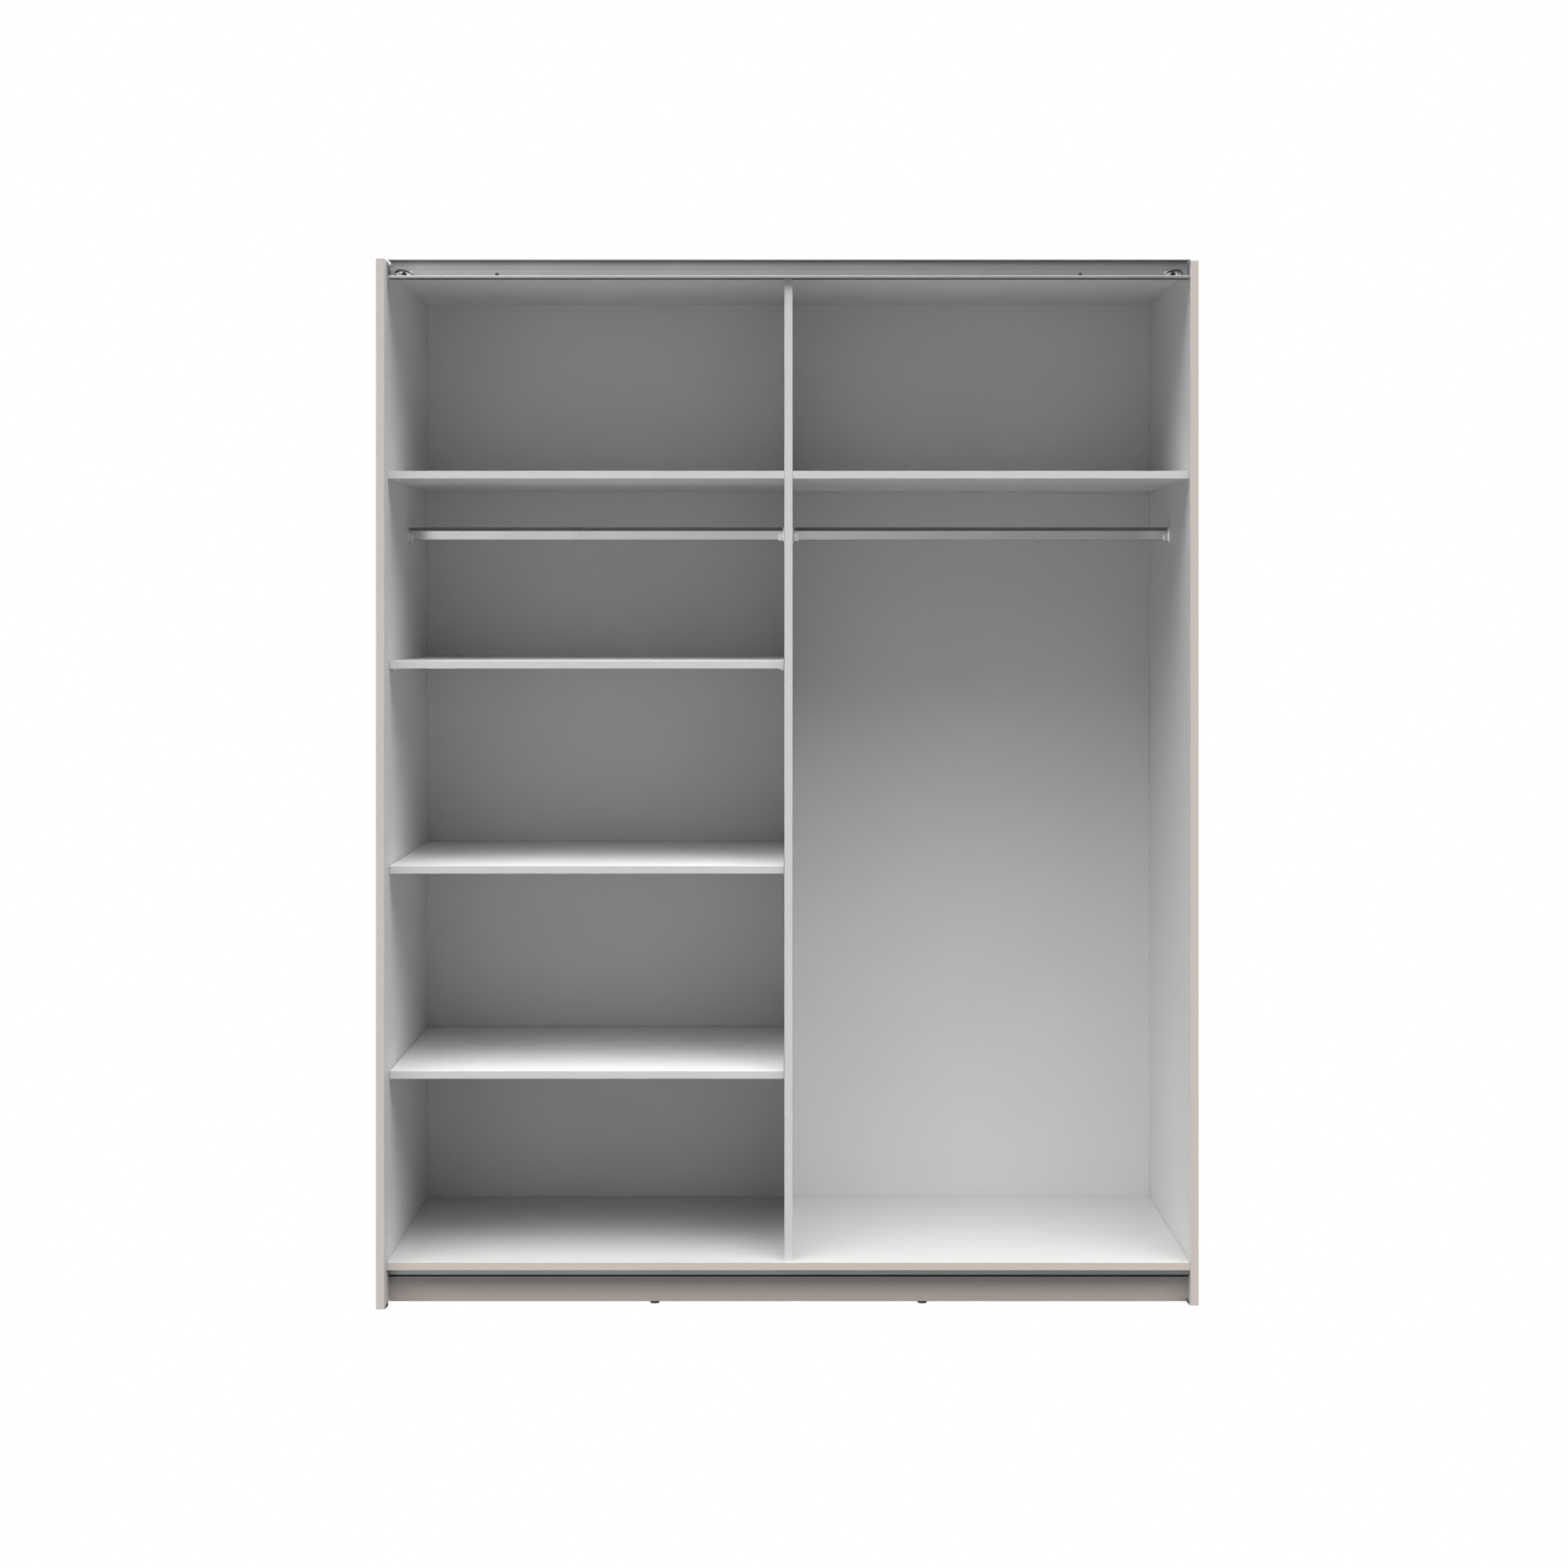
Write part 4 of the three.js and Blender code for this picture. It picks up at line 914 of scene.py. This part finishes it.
def ribbed(angle, height):
    # the pad's rim: 1 - depth * (1 + cos(ribs * angle)) / 2, between its edges
    onRim = (height > foot["rimEdge"]) & (height < foot["pad"] - foot["rimEdge"])
    return 1 - foot["ribDepth"] * (0.5 + 0.5 * np.cos(foot["ribs"] * angle)) * onRim


for end in ("left", "right"):
    low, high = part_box("foot_" + end)
    radius = (high.x - low.x) / 2
    middle = ((low.x + high.x) / 2, (low.y + high.y) / 2, 0)
    pad = [(0, 0.2 * mm), (radius * 0.6, 0.2 * mm), (radius * 0.66, 0), (radius - 0.8 * mm, 0),
           (radius - 0.2 * mm, 0.25 * mm), (radius, 0.8 * mm), (radius, 1.0 * mm), (radius, 1.9 * mm),
           (radius, foot["pad"] - 1 * mm), (radius - 0.3 * mm, foot["pad"] - 0.3 * mm),
           (radius - 1 * mm, foot["pad"]), (foot["stemRadius"] + 0.1 * mm, foot["pad"])]
    stem = threadProfile(foot["pad"] + 0.1 * mm, high.z - 1 * mm)
    profile = pad + stem + [(foot["stemRadius"] - 1 * mm, high.z), (0, high.z)]
    makePiece("foot_turned_" + end, [turnedPart(profile, middle, (0, 0, 1), 192, ribbed)], blackAbs,
              "levelling_foot_" + end, ["foot_" + end])

glide = {
    "padRadius": 5 * mm,
    "flangeLow": 4.4 * mm,
    "flangeTop": 6.2 * mm,
    "upstandTop": 9.8 * mm,
    "upstandWidth": 1.4 * mm,
    "round": 0.5 * mm,
    "nailRadius": 1.5 * mm,
    "tip": 3 * mm,
}
for name in [n for n in nodes if n.startswith("glide_")]:
    # an angle under the panel's inner arris: a round pad, a flange, an upstand against the inner face,
    # and a nail
    low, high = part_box(name)
    r = glide["padRadius"]
    middle = ((low.x + high.x) / 2, (low.y + high.y) / 2, 0)
    profile = [(0, 0), (r * 0.7, 0), (r * 0.88, 0.25 * mm), (r, 0.9 * mm), (r, 2.2 * mm),
               (r * 0.92, 2.4 * mm), (r * 0.92, 3.0 * mm), (r, 3.2 * mm), (r, glide["flangeTop"] - 0.3 * mm),
               (glide["nailRadius"], glide["flangeTop"]), (glide["nailRadius"], high.z - glide["tip"]),
               (0, high.z)]
    pad = turnedPart(profile, middle, (0, 0, 1), 48)
    flangeLow, flangeTop = glide["flangeLow"], glide["flangeTop"]
    flange = blockPart((low.x, low.y, flangeLow), (high.x, high.y, flangeTop), glide["round"])
    innerSide, outerSide = sorted((low.x, high.x), key=abs)
    nearX, farX = sorted([innerSide, innerSide + math.copysign(glide["upstandWidth"], outerSide)])
    upstand = blockPart((nearX, low.y, flangeLow), (farX, high.y, glide["upstandTop"]), glide["round"])
    makePiece(name + "_moulded", [pad, flange, upstand], blackAbs, "carcass", [name])

plug = {"headRadius": 3 * mm, "rim": 0.8 * mm, "pinRadius": 2 * mm, "pinEnd": 6.6 * mm, "tipEnd": 6.8 * mm}
for end, sign in (("left", -1), ("right", 1)):
    low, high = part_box("hole_plug_" + end)
    headX = high.x if sign < 0 else low.x
    middle = (headX, (low.y + high.y) / 2, (low.z + high.z) / 2)
    profile = [(0, 0), (1.2 * mm, 0.02 * mm), (2.2 * mm, 0.12 * mm), (2.8 * mm, 0.35 * mm),
               (plug["headRadius"], 0.6 * mm), (plug["headRadius"], plug["rim"]),
               (plug["pinRadius"], plug["rim"]), (plug["pinRadius"], plug["pinEnd"]), (0, plug["tipEnd"])]
    makePiece("plug_cap_" + end, [turnedPart(profile, middle, (sign, 0, 0), 32)], whitePlastic, "carcass",
              ["hole_plug_" + end])
print("feet, glides and plugs made")

# Fasteners that only show from behind and above: nails in the back, covers over the cam fittings

nail = {"pitch": 150 * mm, "radius": 2.6 * mm, "rim": 0.25 * mm, "rise": 0.7 * mm, "edge": 40 * mm}
backLow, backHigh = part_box("back_panel_left")
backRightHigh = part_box("back_panel_right")[1]
topLow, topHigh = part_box("top_panel")
bottomLow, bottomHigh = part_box("bottom_panel")


def nailPart(x, z):
    # a nail's low round head: r(h) from a small turned profile
    r = nail["radius"]
    head = [(0, 0), (r, 0), (r, nail["rim"]), (r * 0.7, nail["rise"]), (0, nail["rise"])]
    return turnedPart(head, (x, backHigh.y, z), (0, 1, 0), 12)


nailCount = int((backRightHigh.x - backLow.x - 2 * nail["edge"]) / nail["pitch"])
nailX = np.linspace(backLow.x + nail["edge"], backRightHigh.x - nail["edge"], nailCount)
nailRows = [(topLow.z + topHigh.z) / 2, (bottomLow.z + bottomHigh.z) / 2]
makePiece("back_nails", [nailPart(x, z) for z in nailRows for x in nailX], zincSteel, "carcass", ())

cover = {"radius": 9 * mm, "rise": 0.9 * mm, "inset": 34 * mm, "fromEdge": 90 * mm}


def coverPart(x, y, z, up):
    # a cam cover: a shallow dome with a small rim
    r, h = cover["radius"], cover["rise"]
    dome = [(0, h), (r * 0.55, h), (r * 0.8, h * 0.8), (r * 0.86, h * 0.5), (r * 0.93, h * 0.55),
            (r, h * 0.3), (r, 0), (0, 0)]
    return turnedPart(dome, (x, y, z), (0, 0, up), 32)


def coverRow(board, z, up):
    low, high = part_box(board)
    spots = [(x, y) for x in (low.x + cover["inset"], high.x - cover["inset"])
             for y in (low.y + cover["fromEdge"], high.y - cover["fromEdge"])]
    return [coverPart(x, y, z, up) for x, y in spots]


coverRows = {
    "cam_covers_top": coverRow("top_panel", topHigh.z, 1),
    "cam_covers_bottom": coverRow("bottom_panel", bottomLow.z, -1),
}
for bay in ("left", "right"):
    shelf = "top_shelf_" + bay
    coverRows["cam_covers_shelf_" + bay] = coverRow(shelf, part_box(shelf)[1].z, 1)
for name, covers in coverRows.items():
    makePiece(name, covers, whitePlastic, "carcass", ())
print("fasteners made")

# Studio: a pale floor that the camera sees as shadowless white, two broad soft keys from high in front,
# a top light, a low fill, and two soft lights from behind for the sides and the back

studio = {
    "floorSize": 60.0,
    "floorTone": 0.19,
    "floorSeen": 1.0,
    "mirrored": (0.99, 0.28),  # the room that polished metal mirrors, brighter at its left
    "mirroredSpan": 0.13,  # half the width of its change from left to right, as a direction's x
    "unmirrored": "lowFill",
    "lights": [  # name, azimuth from the front, elevation, strength, softness, all in degrees but strength
        ("softKeyLeft", -45, 55, 0.66, 50),
        ("softKeyRight", 45, 55, 0.645, 50),
        ("softTop", 0, 75, 0.41, 50),
        ("lowFill", 0, 15, 0.06, 50),
        ("rearLeft", -128, 38, 0.50, 60),
        ("rearRight", 128, 38, 0.50, 60),
    ],
}
floorMesh = bpy.data.meshes.new("studioFloor")
span = studio["floorSize"] / 2
floorCorners = [(-span, -span, 0), (span, -span, 0), (span, span, 0), (-span, span, 0)]
floorMesh.from_pydata(floorCorners, [], [(0, 1, 2, 3)])
floorObject = bpy.data.objects.new("studioFloor", floorMesh)
bpy.context.scene.collection.objects.link(floorObject)
floorMaterial = bpy.data.materials.new("paleStudioFloor")
floorMaterial.use_nodes = True
floorTree = floorMaterial.node_tree
floorTree.nodes.clear()
floorTone = studio["floorTone"]
matt = addNode(floorTree, "BsdfDiffuse", {"Color": (floorTone, floorTone, floorTone, 1.0)})
lit = addNode(floorTree, "Emission", {"Color": (1.0, 1.0, 1.0, 1.0), "Strength": studio["floorSeen"]})
floorRay = addNode(floorTree, "LightPath")
floorMix = addNode(floorTree, "MixShader", {0: floorRay.outputs["Is Camera Ray"], 1: matt, 2: lit})
addNode(floorTree, "OutputMaterial", {"Surface": floorMix})
floorMesh.materials.append(floorMaterial)
floorObject.visible_glossy = False

for name, azimuth, elevation, strength, softness in studio["lights"]:
    lightData = bpy.data.lights.new(name, "SUN")
    lightData.energy = strength * math.pi
    lightData.angle = math.radians(softness)
    light = bpy.data.objects.new(name, lightData)
    across, up = math.radians(azimuth), math.radians(elevation)
    source = Vector((math.sin(across) * math.cos(up), -math.cos(across) * math.cos(up), math.sin(up)))
    light.rotation_euler = source.to_track_quat("Z", "Y").to_euler()
    light.visible_glossy = name != studio["unmirrored"]
    bpy.context.scene.collection.objects.link(light)

world = bpy.data.worlds.new("studioWhite")
bpy.context.scene.world = world
world.use_nodes = True
worldTree = world.node_tree
worldTree.nodes.clear()
worldRay = addNode(worldTree, "LightPath")
worldPlace = addNode(worldTree, "TexCoord")
worldPoint = addNode(worldTree, "SeparateXYZ", {"Vector": worldPlace.outputs["Generated"]})
leftBright, rightBright = studio["mirrored"]
mirroredSpan = studio["mirroredSpan"]
mirrored = addNode(worldTree, "MapRange", {
    "Value": worldPoint.outputs["X"], "From Min": -mirroredSpan, "From Max": mirroredSpan,
    "To Min": leftBright, "To Max": rightBright,
})
shine = addNode(worldTree, "Math", {0: worldRay.outputs["Is Glossy Ray"], 1: mirrored}, operation="MULTIPLY")
seen = addNode(worldTree, "Math", {0: worldRay.outputs["Is Camera Ray"], 1: shine}, operation="MAXIMUM")
background = addNode(worldTree, "Background", {"Color": (1.0, 1.0, 1.0, 1.0), "Strength": seen})
addNode(worldTree, "OutputWorld", {"Surface": background})
print("studio lit")
